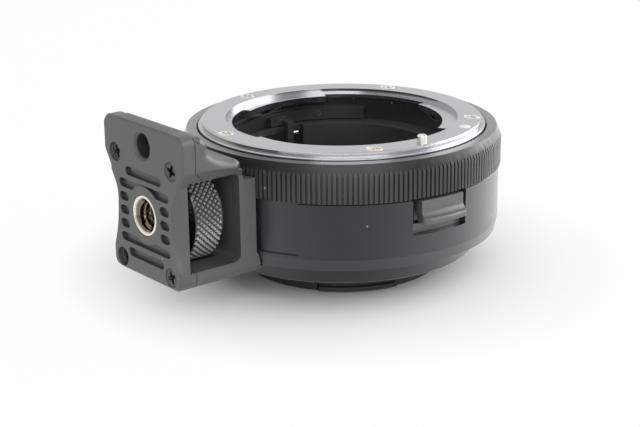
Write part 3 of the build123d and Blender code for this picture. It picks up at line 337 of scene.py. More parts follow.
def fill_rings(tree, inward, outward):
    """Fine rings round an axis, as a turning tool leaves them."""
    axis = add(tree, "ShaderNodeGroup", node_tree=axis_group())
    total = add(tree, "ShaderNodeMath", operation="ADD")
    scaled = add(tree, "ShaderNodeMath", operation="MULTIPLY")
    noise = add(tree, "ShaderNodeTexNoise", noise_dimensions="1D")
    put(noise, Scale=1.0, Detail=3.0, Roughness=0.7)
    tree.links.new(inward["Place"], axis.inputs["Place"])
    tree.links.new(axis.outputs["Radius"], total.inputs[0])
    tree.links.new(axis.outputs["Along"], total.inputs[1])
    tree.links.new(total.outputs["Value"], scaled.inputs[0])
    tree.links.new(inward["Rings per Metre"], scaled.inputs[1])
    tree.links.new(scaled.outputs["Value"], noise.inputs["W"])
    tree.links.new(noise.outputs["Fac"], outward["Rings"])


def fill_dust(tree, inward, outward):
    """Small round specks, few and scattered."""
    place = add(tree, "ShaderNodeTexCoord")
    cells = add(tree, "ShaderNodeTexVoronoi", feature="F1")
    pick = add(tree, "ShaderNodeSeparateColor")
    rare = add(tree, "ShaderNodeMath", operation="GREATER_THAN")
    rare.inputs[1].default_value = DUST_PICK
    both = add(tree, "ShaderNodeMath", operation="MULTIPLY")
    tree.links.new(place.outputs["Object"], cells.inputs["Vector"])
    tree.links.new(inward["Cells per Metre"], cells.inputs["Scale"])
    tree.links.new(cells.outputs["Color"], pick.inputs["Color"])
    tree.links.new(pick.outputs["Red"], rare.inputs[0])
    tree.links.new(stepped(tree, cells.outputs["Distance"], SPECK_RIM, SPECK_CORE), both.inputs[0])
    tree.links.new(rare.outputs["Value"], both.inputs[1])
    tree.links.new(both.outputs["Value"], outward["Specks"])


def grain_group():
    """Grain and faint blotches of blasted and anodised metal."""
    inputs = [("Fine Scale", "NodeSocketFloat", 4000.0), ("Coarse Scale", "NodeSocketFloat", 120.0)]
    return shader_group("metal_grain", inputs, ["Fine", "Coarse"], fill_grain)


def axis_group():
    """Distance from an axis and place along it."""
    return shader_group("axis_place", [("Place", "NodeSocketVector", None)], ["Radius", "Along"], fill_axis)


def rings_group():
    """Marks of turning."""
    inputs = [("Place", "NodeSocketVector", None), ("Rings per Metre", "NodeSocketFloat", 9000.0)]
    return shader_group("turned_rings", inputs, ["Rings"], fill_rings)


def dust_group():
    """Dust on a dark finish."""
    inputs = [("Cells per Metre", "NodeSocketFloat", 260.0)]
    return shader_group("dust_specks", inputs, ["Specks"], fill_dust)


def stepped(tree, source, low, high):
    """A mask that goes from 0 to 1 between two values."""
    step = add(tree, "ShaderNodeMapRange")
    put(step, From_Min=low, From_Max=high)
    tree.links.new(source, step.inputs["Value"])
    return step.outputs["Result"]


def ranged(tree, source, low, high):
    """A value between two limits, from a noise."""
    spread = put(add(tree, "ShaderNodeMapRange"), From_Min=0.3, From_Max=0.7, To_Min=low, To_Max=high)
    tree.links.new(source, spread.inputs["Value"])
    return spread.outputs["Result"]


def toned(tree, source, base, spread):
    """A colour a little lighter or darker than its base, from a noise."""
    ramp = add(tree, "ShaderNodeMix", data_type="RGBA")
    ramp.inputs["A"].default_value = (*[channel * (1 - spread) for channel in base], 1.0)
    ramp.inputs["B"].default_value = (*[min(1.0, channel * (1 + spread)) for channel in base], 1.0)
    tree.links.new(ranged(tree, source, 0.0, 1.0), ramp.inputs["Factor"])
    return ramp.outputs["Result"]


def covered(tree, mask, under, over):
    """A colour over another one where a mask is 1."""
    mix = add(tree, "ShaderNodeMix", data_type="RGBA")
    mix.inputs["B"].default_value = (*over, 1.0)
    tree.links.new(mask, mix.inputs["Factor"])
    tree.links.new(under, mix.inputs["A"])
    return mix.outputs["Result"]


def bumped(tree, source, shader, strength, depth):
    """A bump on a shader's normal, from a noise."""
    bump = put(add(tree, "ShaderNodeBump"), Strength=strength, Distance=depth)
    tree.links.new(source, bump.inputs["Height"])
    tree.links.new(bump.outputs["Normal"], shader.inputs["Normal"])


def centred(tree, centre, turn):
    """The piece's own place, seen from an axis through a centre."""
    place = add(tree, "ShaderNodeTexCoord")
    mapping = put(add(tree, "ShaderNodeMapping", vector_type="TEXTURE"), Location=centre, Rotation=turn)
    tree.links.new(place.outputs["Object"], mapping.inputs["Vector"])
    return mapping.outputs["Vector"]


def radius_mask(tree, centre, turn, low, high):
    """A mask that goes from 0 to 1 between two distances from an axis."""
    axis = add(tree, "ShaderNodeGroup", node_tree=axis_group())
    tree.links.new(centred(tree, centre, turn), axis.inputs["Place"])
    return stepped(tree, axis.outputs["Radius"], low, high)


def blank_material(name, metallic, specular):
    """A new material with its node tree and its shader."""
    made = bpy.data.materials.new(name)
    made.use_nodes = True
    shader = made.node_tree.nodes["Principled BSDF"]
    put(shader, Metallic=metallic, Specular_IOR_Level=specular)
    return made, made.node_tree, shader


def rim_gloss(tree, shader, film, start):
    """A gloss where the surface turns away, as on a smooth anodised film, with its index and its start."""
    slant = put(add(tree, "ShaderNodeLayerWeight"), Blend=0.5)
    put(shader, Coat_IOR=film, Coat_Roughness=FILM_ROUGH)
    tree.links.new(stepped(tree, slant.outputs["Facing"], start, FILM_FULL), shader.inputs["Coat Weight"])


def grained(
    name, base, rough, metallic=0.0, specular=0.5, fine=4000.0, coarse=120.0, spread=0.12, bump=0.15,
    gloss=None, shade=None, shade_colour=None, dusty=False,
):
    """Blasted or anodised metal with a fine grain and faint blotches, shaded where a mask says so."""
    found = bpy.data.materials.get(name)
    if found:
        return found
    made, tree, shader = blank_material(name, metallic, specular)
    if gloss:
        rim_gloss(tree, shader, *gloss)
    grain = put(add(tree, "ShaderNodeGroup", node_tree=grain_group()), Fine_Scale=fine, Coarse_Scale=coarse)
    link = tree.links.new
    both = put(add(tree, "ShaderNodeMix"), Factor=0.5)
    link(grain.outputs["Fine"], both.inputs["A"])
    link(grain.outputs["Coarse"], both.inputs["B"])
    tone = toned(tree, both.outputs["Result"], base, spread)
    if shade:
        tone = covered(tree, shade(tree), tone, shade_colour)
    if dusty:
        dust = add(tree, "ShaderNodeGroup", node_tree=dust_group())
        tone = covered(tree, dust.outputs["Specks"], tone, finishes().dust)
    link(tone, shader.inputs["Base Color"])
    low, high = rough - GRAIN_ROUGH_SPREAD, rough + GRAIN_ROUGH_SPREAD
    link(ranged(tree, grain.outputs["Coarse"], low, high), shader.inputs["Roughness"])
    bumped(tree, grain.outputs["Fine"], shader, bump, GRAIN_DEPTH)
    return made


def turned_metal(
    name, base, rough, turn=UPRIGHT, centre=LENS_AXIS, rings=9000.0, bump=0.1, spread=0.06,
    shade=None, shade_colour=None,
):
    """Plated or bare metal with the fine rings of turning round its axis, shaded where a mask says so."""
    found = bpy.data.materials.get(name)
    if found:
        return found
    made, tree, shader = blank_material(name, 1.0, 0.5)
    lathe = put(add(tree, "ShaderNodeGroup", node_tree=rings_group()), Rings_per_Metre=rings)
    grain = add(tree, "ShaderNodeGroup", node_tree=grain_group())
    link = tree.links.new
    link(centred(tree, centre, turn), lathe.inputs["Place"])
    tone = toned(tree, lathe.outputs["Rings"], base, spread)
    if shade:
        tone = covered(tree, shade(tree), tone, shade_colour)
    link(tone, shader.inputs["Base Color"])
    low, high = rough - TURNED_ROUGH_SPREAD, rough + TURNED_ROUGH_SPREAD
    link(ranged(tree, grain.outputs["Coarse"], low, high), shader.inputs["Roughness"])
    bumped(tree, lathe.outputs["Rings"], shader, bump, TURNED_DEPTH)
    return made


def bore_mask(tree):
    """Inside of the barrel."""
    return radius_mask(tree, LENS_AXIS, UPRIGHT, BORE_START, BORE_FULL)


def ridge_shade_mask(tree):
    """Painted shade in the grooves between the ridges of the aperture ring."""
    return radius_mask(tree, LENS_AXIS, UPRIGHT, RIDGE_START, RING_R - sizes().ridge_shade_depth)


def knurl_shade_mask(tree):
    """Painted shade in the valleys of the wheel's knurling."""
    return radius_mask(tree, tuple(WHEEL_AXIS), LYING, KNURL_START, WHEEL_R - sizes().knurl_shade_depth)


def thread_shade_mask(tree):
    """Painted shade inside the tripod bush, behind its mouth."""
    mouth = sizes().bush_mouth
    return radius_mask(tree, tuple(BUSH_AXIS), LYING, mouth - THREAD_START, mouth - THREAD_FULL)


def slot_shade_mask(tree):
    """Painted shade on the floors of the grooves in the foot plate."""
    place = add(tree, "ShaderNodeTexCoord")
    parts = add(tree, "ShaderNodeSeparateXYZ")
    aside = add(tree, "ShaderNodeMath", operation="ABSOLUTE")
    both = add(tree, "ShaderNodeMath", operation="MULTIPLY")
    tree.links.new(place.outputs["Object"], parts.inputs["Vector"])
    tree.links.new(parts.outputs["X"], aside.inputs[0])
    deep = stepped(tree, parts.outputs["Y"], SLOT_START, SLOT_FULL)
    inner = stepped(tree, aside.outputs["Value"], SLOT_SIDE_START, SLOT_SIDE_FULL)
    tree.links.new(deep, both.inputs[0])
    tree.links.new(inner, both.inputs[1])
    return both.outputs["Value"]


def barrel_finish():
    """Dark satin film of the barrel, blacker in its bore."""
    return grained(
        "barrel_film", finishes().barrel, 0.28, specular=0.45, fine=6000.0, spread=0.06, bump=0.02,
        gloss=(2.3, 0.05), shade=bore_mask, shade_colour=finishes().bore, dusty=True,
    )


def ring_finish():
    """Satin anodised ring with painted shade in its grooves."""
    return grained(
        "ring_satin", finishes().ring, 0.36, specular=0.45, fine=6000.0, spread=0.12, bump=0.05,
        gloss=(1.7, 0.35), shade=ridge_shade_mask, shade_colour=finishes().painted_groove_shade, dusty=True,
    )


def foot_finish():
    """Fine blasted and anodised foot."""
    return grained(
        "foot_blasted", finishes().foot, 0.4, specular=0.8, fine=5200.0, spread=0.16, bump=0.25, dusty=True
    )


def plate_finish():
    """The foot's finish, with painted shade on the floors of its grooves."""
    return grained(
        "plate_blasted", finishes().foot, 0.4, specular=0.8, fine=5200.0, spread=0.16, bump=0.25,
        shade=slot_shade_mask, shade_colour=finishes().slot, dusty=True,
    )


def screw_finish():
    """Blackened screws."""
    return grained("screw_black", finishes().screw, 0.35, specular=0.8, fine=5000.0, spread=0.15, bump=0.1)


def lever_finish():
    """Satin anodised lever and its guide."""
    return grained("lever_satin", finishes().lever, 0.36, specular=0.8, fine=6000.0, spread=0.1, bump=0.06)


def wheel_finish():
    """Dark anodised wheel with painted shade in the valleys of its knurling."""
    return grained(
        "wheel_anodised", finishes().wheel, 0.25, specular=1.0, fine=5000.0, spread=0.15, bump=0.08,
        shade=knurl_shade_mask, shade_colour=finishes().painted_groove_shade,
    )


def baffle_finish():
    """Matte black inside."""
    return grained("baffle_black", finishes().baffle, 0.6, specular=0.4, fine=3000.0, spread=0.25, bump=0.2)


def bayonet_finish():
    """Black anodised bayonet and carrier."""
    return grained("bayonet_black", finishes().bayonet, 0.4, specular=0.6, fine=5000.0, spread=0.2, bump=0.05)


def bead_finish():
    """White enamel."""
    return grained("bead_enamel", finishes().bead, 0.25, specular=0.5, fine=2500.0, spread=0.03, bump=0.03)


def recess_shade_finish():
    """Painted shade in the cross recess of a nickel plated screw."""
    return grained("nickel_recess", finishes().recess_shade, 0.35, metallic=1.0, fine=3000.0, spread=0.3, bump=0.2)


def black_recess_shade_finish():
    """Painted shade in the cross recess of a black screw."""
    dark = finishes().black_recess_shade
    return grained("black_recess_shade", dark, 0.5, specular=0.3, fine=3000.0, spread=0.3, bump=0.2)


def flange_finish():
    """Satin chrome plate with turning marks."""
    return turned_metal("flange_plate", finishes().flange, 0.22, rings=11000.0, bump=0.06, spread=0.03)


def nickel_finish():
    """Nickel plated screws and pins."""
    return grained("nickel_plate", finishes().nickel, 0.2, metallic=1.0, fine=5000.0, spread=0.05, bump=0.04)


def spring_finish():
    """Bright spring steel."""
    steel = finishes().spring
    return grained("spring_bright", steel, 0.25, metallic=1.0, fine=4000.0, spread=0.08, bump=0.05)


def bush_finish():
    """Turned steel bush, with painted shade inside."""
    return turned_metal(
        "bush_turned", finishes().bush, 0.14, turn=LYING, centre=tuple(BUSH_AXIS), rings=14000.0,
        shade=thread_shade_mask, shade_colour=finishes().thread_shade,
    )


# Mesh building


def turned_line(edge):
    """Whether an edge runs round the lens axis, where two turned faces meet."""
    one, other = (v.co for v in edge.verts)
    return abs(one.z - other.z) < MERGE and abs(hypot(one.x, one.y) - hypot(other.x, other.y)) < MERGE


def new_piece(name, bm, coats, body, slot, *nodes, sharp=32.0, turned_sharp=32.0):
    """A finished piece from a bmesh, smooth between its sharp edges, with its finishes in order."""
    for edge in bm.edges:
        limit = turned_sharp if turned_line(edge) else sharp
        edge.smooth = edge.calc_face_angle(0.0) < radians(limit)
    for face in bm.faces:
        face.smooth = True
    mesh = bpy.data.meshes.new(name)
    bm.to_mesh(mesh)
    bm.free()
    for coat in coats:
        mesh.materials.append(coat)
    piece = bpy.data.objects.new(name, mesh)
    bpy.context.scene.collection.objects.link(piece)
    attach(piece, body)
    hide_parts(*nodes)
    return piece


def node_copy(node):
    """A merged copy of a CAD node's mesh, with its flat faces joined."""
    bm = bmesh.new()
    bm.from_mesh(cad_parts[node].data)
    bmesh.ops.remove_doubles(bm, verts=bm.verts, dist=MERGE)
    bmesh.ops.dissolve_limit(bm, angle_limit=FLAT_ANGLE, verts=bm.verts, edges=bm.edges)
    return bm


def closed(bm):
    """A new shape with its seams merged and its faces turned outward."""
    bmesh.ops.remove_doubles(bm, verts=bm.verts, dist=MERGE)
    bmesh.ops.recalc_face_normals(bm, faces=bm.faces)
    return bm


def soften(piece, width, steps=2, angle=30.0):
    """Rounded edges that catch the light."""
    bevel = piece.modifiers.new("edge_break", "BEVEL")
    bevel.width = width
    bevel.segments = steps
    bevel.limit_method = "ANGLE"
    bevel.angle_limit = radians(angle)
    bevel.profile = 0.5
    bevel.harden_normals = True
    return piece


def carried(node, coat, body, slot, width=0.0, sharp=32.0, turned_sharp=32.0):
    """A CAD node's shape with smooth rounds and, where asked, softened edges."""
    piece = new_piece(
        node + "_look", node_copy(node), [coat], body, slot, node, sharp=sharp, turned_sharp=turned_sharp
    )
    if width:
        soften(piece, width)
    return piece


def turned_piece(bm, points, steps, whole=False):
    """A solid round Z from (radius, height) points, by spinning their line or their whole outline."""
    line = [bm.verts.new((radius, 0.0, height)) for radius, height in points]
    ends = line[1:] + line[:1] if whole else line[1:]
    edges = [bm.edges.new(pair) for pair in zip(line, ends)]
    bmesh.ops.spin(
        bm, geom=line + edges, cent=(0, 0, 0), axis=(0, 0, 1), angle=2 * pi, steps=steps, use_merge=True
    )


def of_kind(made, kind):
    """The elements of one kind in an operator's result."""
    return [element for element in made if isinstance(element, kind)]


def cross_screw(bm, place, head_r, shank_r, shank, turn):
    """A countersunk cross-head screw with the top of its head at a place's origin, pointing along its Z."""
    rim = head_r * sizes().rim_share
    reach = head_r * sizes().recess_share
    half = head_r * sizes().recess_wide / 2
    start = set(bm.verts)
    steps = sizes().round_steps
    circle = bmesh.ops.create_circle(bm, cap_ends=False, radius=head_r - rim, segments=steps)["verts"]
    outline = []
    for quarter in range(4):
        spin = Matrix.Rotation(quarter * pi / 2 + turn, 3, "Z")
        for x, y in ((reach, -half), (reach, half), (half * RECESS_WAIST, half * RECESS_WAIST)):
            outline.append(bm.verts.new(spin @ Vector((x, y, 0.0))))
    cross = [bm.edges.new(pair) for pair in zip(outline, outline[1:] + outline[:1])]
    circle_edges = list({edge for v in circle for edge in v.link_edges})
    bmesh.ops.triangle_fill(
        bm, use_beauty=True, use_dissolve=False, edges=circle_edges + cross, normal=(0, 0, 1)
    )
    wall = bmesh.ops.extrude_edge_only(bm, edges=cross)["geom"]
    floor = of_kind(wall, bmesh.types.BMVert)
    bmesh.ops.translate(bm, verts=floor, vec=(0, 0, -sizes().recess_depth))
    bmesh.ops.scale(bm, verts=floor, vec=(RECESS_TAPER, RECESS_TAPER, 1.0))
    base = bmesh.ops.contextual_create(bm, geom=of_kind(wall, bmesh.types.BMEdge))["faces"]
    # The recess's walls and floor take the second finish, which is the painted shade of the recess
    for face in of_kind(wall, bmesh.types.BMFace) + base:
        face.material_index = 1
    outer = circle_edges
    for radius, height in ((head_r, -rim), (shank_r, -rim - head_r + shank_r), (shank_r, -shank)):
        grown = bmesh.ops.extrude_edge_only(bm, edges=outer)["geom"]
        for v in of_kind(grown, bmesh.types.BMVert):
            flat = Vector((v.co.x, v.co.y)).normalized() * radius
            v.co = (flat.x, flat.y, height)
        outer = of_kind(grown, bmesh.types.BMEdge)
    bmesh.ops.contextual_create(bm, geom=outer)
    bmesh.ops.transform(bm, matrix=place, verts=[v for v in bm.verts if v not in start])


def look_along(axis, origin):
    """A placement whose Z runs along an axis from an origin."""
    return Matrix.Translation(origin) @ Vector(axis).to_track_quat("Z", "Y").to_matrix().to_4x4()


def solids_of(node):
    """The points of a grouped node's separate solids, in a set order."""
    bm = bmesh.new()
    bm.from_mesh(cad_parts[node].data)
    bmesh.ops.remove_doubles(bm, verts=bm.verts, dist=MERGE)
    left = set(bm.verts)
    found = []
    for seed in bm.verts:
        if seed not in left:
            continue
        left.discard(seed)
        island = [seed]
        for v in island:
            near = [edge.other_vert(v) for edge in v.link_edges]
            fresh = [other for other in near if other in left]
            left.difference_update(fresh)
            island.extend(fresh)
        found.append([v.co.copy() for v in island])
    bm.free()
    return sorted(found, key=lambda points: tuple(round(min(p[k] for p in points), 5) for k in range(3)))


def screw_set(name, node, axis, body, slot, coats):
    """Cross-head screws in the places and of the sizes of a CAD node's screws."""
    bm = bmesh.new()
    for k, points in enumerate(solids_of(node)):
        turned = look_along(axis, (0, 0, 0)).inverted()
        local = [turned @ p for p in points]
        high = max(p.z for p in local)
        low = min(p.z for p in local)
        lows = [min(p[side] for p in local) for side in range(2)]
        highs = [max(p[side] for p in local) for side in range(2)]
        middle = (Vector(lows) + Vector(highs)) / 2
        head_r = max((p.xy - middle).length for p in local)
        shank_r = max((p.xy - middle).length for p in local if p.z - low < MERGE)
        top = turned.inverted() @ Vector((middle.x, middle.y, high))
        turn = radians(FIRST_TURN + TURN_STEP * k)
        cross_screw(bm, look_along(axis, top), head_r, shank_r, high - low, turn)
    return new_piece(name, closed(bm), coats, body, slot, node, sharp=28.0)


def helical_ridge(bm, low, high):
    """The tripod thread as one closed ridge on the wall of a bore along Z, between two heights."""
    crest = sizes().thread_minor
    root = sizes().thread_major + ROOT_SINK
    pitch = sizes().thread_pitch
    steps = sizes().round_steps
    turns = (high - low) / pitch - 1
    points = [(root, 0.0), (crest, CREST_START), (crest, CREST_END), (root, 1.0)]
    section = [bm.verts.new((radius, 0.0, low + part * pitch)) for radius, part in points]
    edges = [bm.edges.new(pair) for pair in zip(section, section[1:] + section[:1])]
    count = round(steps * turns)
    made = bmesh.ops.spin(
        bm, geom=section + edges, cent=(0, 0, 0), axis=(0, 0, 1), dvec=(0, 0, pitch / steps),
        angle=2 * pi * count / steps, steps=count,
    )["geom_last"]
    bmesh.ops.contextual_create(bm, geom=of_kind(made, bmesh.types.BMEdge))
    bmesh.ops.contextual_create(bm, geom=edges)
    for v in bm.verts:
        flare = sizes().bush_mouth - (high - v.co.z) + MOUTH_ROOM
        radius = hypot(v.co.x, v.co.y)
        if radius < flare:
            v.co.x *= flare / radius
            v.co.y *= flare / radius


def rounded(bm, edges, width, steps):
    """Rounds over some edges of a shape."""
    bmesh.ops.bevel(
        bm, geom=edges, offset=width, offset_type="OFFSET", affect="EDGES", segments=steps, profile=0.5,
        material=-1, clamp_overlap=False,
    )


def horn_edges(bm):
    """The long edges at the sides of the foot's horn and shoulder, behind the plate."""
    found = []
    for edge in bm.edges:
        middle = (edge.verts[0].co + edge.verts[1].co) / 2
        if abs(middle.x) < HORN_SIDE or middle.z < HORN_LOW or middle.y < HORN_SEAM:
            continue
        if middle.z < SHOULDER_LOW and middle.y < SHOULDER_START:
            continue
        slants = sorted(abs(face.normal.x) for face in edge.link_faces)
        if len(slants) == 2 and slants[0] < HORN_TOP_SLANT and slants[1] > HORN_SIDE_SLANT:
            found.append(edge)
    return found


# Operators, one for each piece or group of like pieces


class ADAPTER_OT_barrel(bpy.types.Operator):
    """Adds the satin barrel"""
    bl_idname = "adapter.barrel"
    bl_label = "Barrel"

    def execute(self, context):
        carried("barrel", barrel_finish(), "barrel", "barrel_satin", sizes().edge, turned_sharp=6.0)
        return {"FINISHED"}


class ADAPTER_OT_lens_flange(bpy.types.Operator):
    """Adds the plated lens flange"""
    bl_idname = "adapter.lens_flange"
    bl_label = "Lens flange"

    def execute(self, context):
        fine = sizes().fine_edge
        carried("front_mount", flange_finish(), "barrel", "plated_flange", fine, turned_sharp=12.0)
        return {"FINISHED"}


class ADAPTER_OT_flange_screws(bpy.types.Operator):
    """Adds the cross-head screws of both flanges"""
    bl_idname = "adapter.flange_screws"
    bl_label = "Flange screws"

    def execute(self, context):
        coats = [nickel_finish(), recess_shade_finish()]
        screw_set("flange_screws", "front_mount_screws", (0, 0, 1), "barrel", "nickel_screw", coats)
        screw_set("bayonet_screws", "rear_mount_screws", (0, 0, -1), "barrel", "nickel_screw", coats)
        return {"FINISHED"}


class ADAPTER_OT_index_bead(bpy.types.Operator):
    """Adds the white index bead"""
    bl_idname = "adapter.index_bead"
    bl_label = "Index bead"

    def execute(self, context):
        low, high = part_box("index_dot")
        radius = (high.x - low.x) / 2
        flare = radius * (1 + sizes().bead_share)
        tall = high.z - low.z
        bm = bmesh.new()
        points = [(0, 0), (radius, 0), (radius, tall)]
        for k in range(5):
            turn = k / 4 * pi / 2
            points.append((flare * cos(turn), tall + BEAD_DOME * sin(turn)))
        turned_piece(bm, points, sizes().round_steps)
        middle = (low + high) / 2
        bmesh.ops.translate(bm, verts=bm.verts, vec=(middle.x, middle.y, low.z))
        new_piece("index_bead", closed(bm), [bead_finish()], "barrel", "white_bead", "index_dot")
        return {"FINISHED"}


class ADAPTER_OT_throat(bpy.types.Operator):
    """Adds the black baffle, the leaf springs and the aperture arm"""
    bl_idname = "adapter.throat"
    bl_label = "Throat"

    def execute(self, context):
        fine = sizes().fine_edge
        carried("inner_sleeve", baffle_finish(), "barrel", "black_baffle", fine)
        carried("bayonet_springs", spring_finish(), "barrel", "spring_steel")
        carried("spring_rivets", spring_finish(), "barrel", "spring_steel")
        carried("lever_carrier", bayonet_finish(), "aperture_ring", "carrier_metal", fine)
        carried("aperture_arm", baffle_finish(), "aperture_ring", "black_baffle", fine)
        carried("arm_pin", nickel_finish(), "aperture_ring", "pin_steel", fine)
        carried("arm_screws", screw_finish(), "aperture_ring", "carrier_metal")
        return {"FINISHED"}


class ADAPTER_OT_camera_bayonet(bpy.types.Operator):
    """Adds the black camera bayonet"""
    bl_idname = "adapter.camera_bayonet"
    bl_label = "Camera bayonet"

    def execute(self, context):
        carried("rear_mount", bayonet_finish(), "barrel", "black_bayonet", sizes().fine_edge)
        return {"FINISHED"}


class ADAPTER_OT_aperture_ring(bpy.types.Operator):
    """Adds the ridged aperture ring and its drive screws"""
    bl_idname = "adapter.aperture_ring"
    bl_label = "Aperture ring"

    def execute(self, context):
        carried("aperture_ring", ring_finish(), "aperture_ring", "ring_grey", sizes().fine_edge / 2)
        carried("drive_screws", screw_finish(), "aperture_ring", "carrier_metal", sizes().fine_edge)
        return {"FINISHED"}


class ADAPTER_OT_lens_release(bpy.types.Operator):
    """Adds the release lever, its guide, its spring and the lock pin"""
    bl_idname = "adapter.lens_release"
    bl_label = "Lens release"

    def execute(self, context):
        carried("release_lever", lever_finish(), "lens_release", "lever_grey", sizes().edge)
        carried("lever_guide", lever_finish(), "barrel", "lever_grey", sizes().fine_edge)
        carried("lock_pin", nickel_finish(), "lens_release", "pin_steel", sizes().fine_edge)
        spring = carried("release_spring", spring_finish(), "barrel", "spring_steel")
        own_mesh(spring)
        return {"FINISHED"}


class ADAPTER_OT_foot(bpy.types.Operator):
    """Adds the foot's frame, with its rounded horn, and its grooved plate"""
    bl_idname = "adapter.foot"
    bl_label = "Tripod foot"

    def execute(self, context):
        bm = node_copy("foot_frame")
        rounded(bm, horn_edges(bm), sizes().horn_round, 6)
        frame_piece = new_piece("foot_frame_look", bm, [foot_finish()], "foot", "foot_grey", "foot_frame")
        soften(frame_piece, sizes().soft_edge, 3)
        soften(carried("foot_plate", plate_finish(), "foot", "foot_grey"), sizes().soft_edge, 3)
        return {"FINISHED"}


class ADAPTER_OT_plate_screws(bpy.types.Operator):
    """Adds the black cross-head screws of the foot plate"""
    bl_idname = "adapter.plate_screws"
    bl_label = "Foot plate screws"

    def execute(self, context):
        coats = [screw_finish(), black_recess_shade_finish()]
        screw_set("plate_screws", "foot_plate_screws", (0, -1, 0), "foot", "foot_grey", coats)
        return {"FINISHED"}


class ADAPTER_OT_tripod_bush(bpy.types.Operator):
    """Adds the steel bush with its tripod thread"""
    bl_idname = "adapter.tripod_bush"
    bl_label = "Tripod bush"

    def execute(self, context):
        size = sizes()
        deep = BUSH_HIGH.y - BUSH_LOW.y
        collar_r = (BUSH_HIGH.x - BUSH_LOW.x) / 2
        collar_low = -size.collar_depth - size.collar_thick
        flare = size.bush_mouth - size.thread_major
        rim = size.fine_edge
        outline = [
            (size.thread_major, -deep), (size.bush_body, -deep), (size.bush_body, collar_low),
            (collar_r, collar_low), (collar_r, -size.collar_depth), (size.bush_body, -size.collar_depth),
            (size.bush_body, -rim), (size.bush_body - rim, 0.0), (size.bush_mouth, 0.0),
            (size.thread_major, -flare),
        ]
        bm = bmesh.new()
        helical_ridge(bm, -deep, 0.0)
        turned_piece(bm, outline, 2 * size.round_steps, whole=True)
        middle = Vector((BUSH_AXIS.x, BUSH_LOW.y, BUSH_AXIS.z))
        bmesh.ops.transform(bm, matrix=look_along((0, -1, 0), middle), verts=bm.verts)
        coats = [bush_finish()]
        new_piece("threaded_bush", closed(bm), coats, "foot", "bush_steel", "tripod_bush", sharp=25.0)
        return {"FINISHED"}


class ADAPTER_OT_clamp_wheel(bpy.types.Operator):
    """Adds the knurled clamp wheel with its stud, clip and washer"""
    bl_idname = "adapter.clamp_wheel"
    bl_label = "Clamp wheel"

    def execute(self, context):
        carried("clamp_wheel", wheel_finish(), "clamp_wheel", "wheel_dark", sharp=12.0)
        carried("clamp_stud", nickel_finish(), "clamp_wheel", "pin_steel", sizes().fine_edge)
        carried("stud_clip", spring_finish(), "clamp_wheel", "spring_steel")
        carried("thrust_washer", nickel_finish(), "foot", "pin_steel", sizes().fine_edge)
        return {"FINISHED"}


def seen_rays(tree):
    """1 for what the camera sees, also in a reflection or through glass, and 0 for light on the object."""
    path = add(tree, "ShaderNodeLightPath")
    seen = path.outputs["Is Camera Ray"]
    for kind in ("Is Glossy Ray", "Is Transmission Ray"):
        both = add(tree, "ShaderNodeMath", operation="MAXIMUM")
        tree.links.new(seen, both.inputs[0])
        tree.links.new(path.outputs[kind], both.inputs[1])
        seen = both.outputs["Value"]
    return seen


def tent_level(tree, stage, back):
    """Strength of the white tent: plain as light, white to look at, darker low in front in reflections."""
    place = add(tree, "ShaderNodeTexCoord")
    path = add(tree, "ShaderNodeLightPath")
    ahead = add(tree, "ShaderNodeVectorMath", operation="DOT_PRODUCT")
    ahead.inputs[1].default_value = (back + Vector((0.0, 0.0, 1.0))).normalized()
    mirrored = add(tree, "ShaderNodeMapRange")
    put(mirrored, From_Min=TENT_DARK, From_Max=TENT_BRIGHT, To_Min=stage.front, To_Max=stage.behind)
    choice = put(add(tree, "ShaderNodeMix"), A=stage.world)
    white = add(tree, "ShaderNodeMath", operation="MAXIMUM")
    link = tree.links.new
    link(place.outputs["Generated"], ahead.inputs[0])
    link(ahead.outputs["Value"], mirrored.inputs["Value"])
    link(path.outputs["Is Glossy Ray"], choice.inputs["Factor"])
    link(mirrored.outputs["Result"], choice.inputs["B"])
    link(choice.outputs["Result"], white.inputs[0])
    link(path.outputs["Is Camera Ray"], white.inputs[1])
    return white.outputs["Value"]


def table_finish(stage):
    """A pale table that goes to white away from the object and keeps its shadow."""
    made, tree, shader = blank_material("pale_table", 0.0, 0.2)
    put(shader, Roughness=0.7)
    link = tree.links.new
    place = add(tree, "ShaderNodeTexCoord")
    noise = put(add(tree, "ShaderNodeTexNoise"), Scale=6.0, Detail=3.0)
    link(place.outputs["Object"], noise.inputs["Vector"])
    link(toned(tree, noise.outputs["Fac"], stage.floor, 0.01), shader.inputs["Base Color"])
    reach = add(tree, "ShaderNodeVectorMath", operation="LENGTH")
    link(place.outputs["Object"], reach.inputs[0])
    fade = put(
        add(tree, "ShaderNodeMapRange"),
        From_Min=stage.shadow_reach, From_Max=stage.white_reach, To_Min=0.0, To_Max=WHITE_SHARE,
    )
    link(reach.outputs["Value"], fade.inputs["Value"])
    portion = add(tree, "ShaderNodeMath", operation="MULTIPLY")
    link(fade.outputs["Result"], portion.inputs[0])
    link(seen_rays(tree), portion.inputs[1])
    white = put(add(tree, "ShaderNodeEmission"), Color=(1.0, 1.0, 1.0, 1.0), Strength=1.0)
    mix = add(tree, "ShaderNodeMixShader")
    link(portion.outputs["Value"], mix.inputs["Fac"])
    link(shader.outputs["BSDF"], mix.inputs[1])
    link(white.outputs["Emission"], mix.inputs[2])
    link(mix.outputs["Shader"], tree.nodes["Material Output"].inputs["Surface"])
    return made


def soft_light(name, place, aim, size, power):
    """A large soft light aimed at a height above the origin."""
    data = bpy.data.lights.new(name, "AREA")
    data.shape = "RECTANGLE"
    data.size, data.size_y = size
    data.energy = power
    lamp = bpy.data.objects.new(name, data)
    lamp.location = place
    lamp.rotation_euler = (Vector((0.0, 0.0, aim)) - place).to_track_quat("-Z", "Y").to_euler()
    bpy.context.scene.collection.objects.link(lamp)


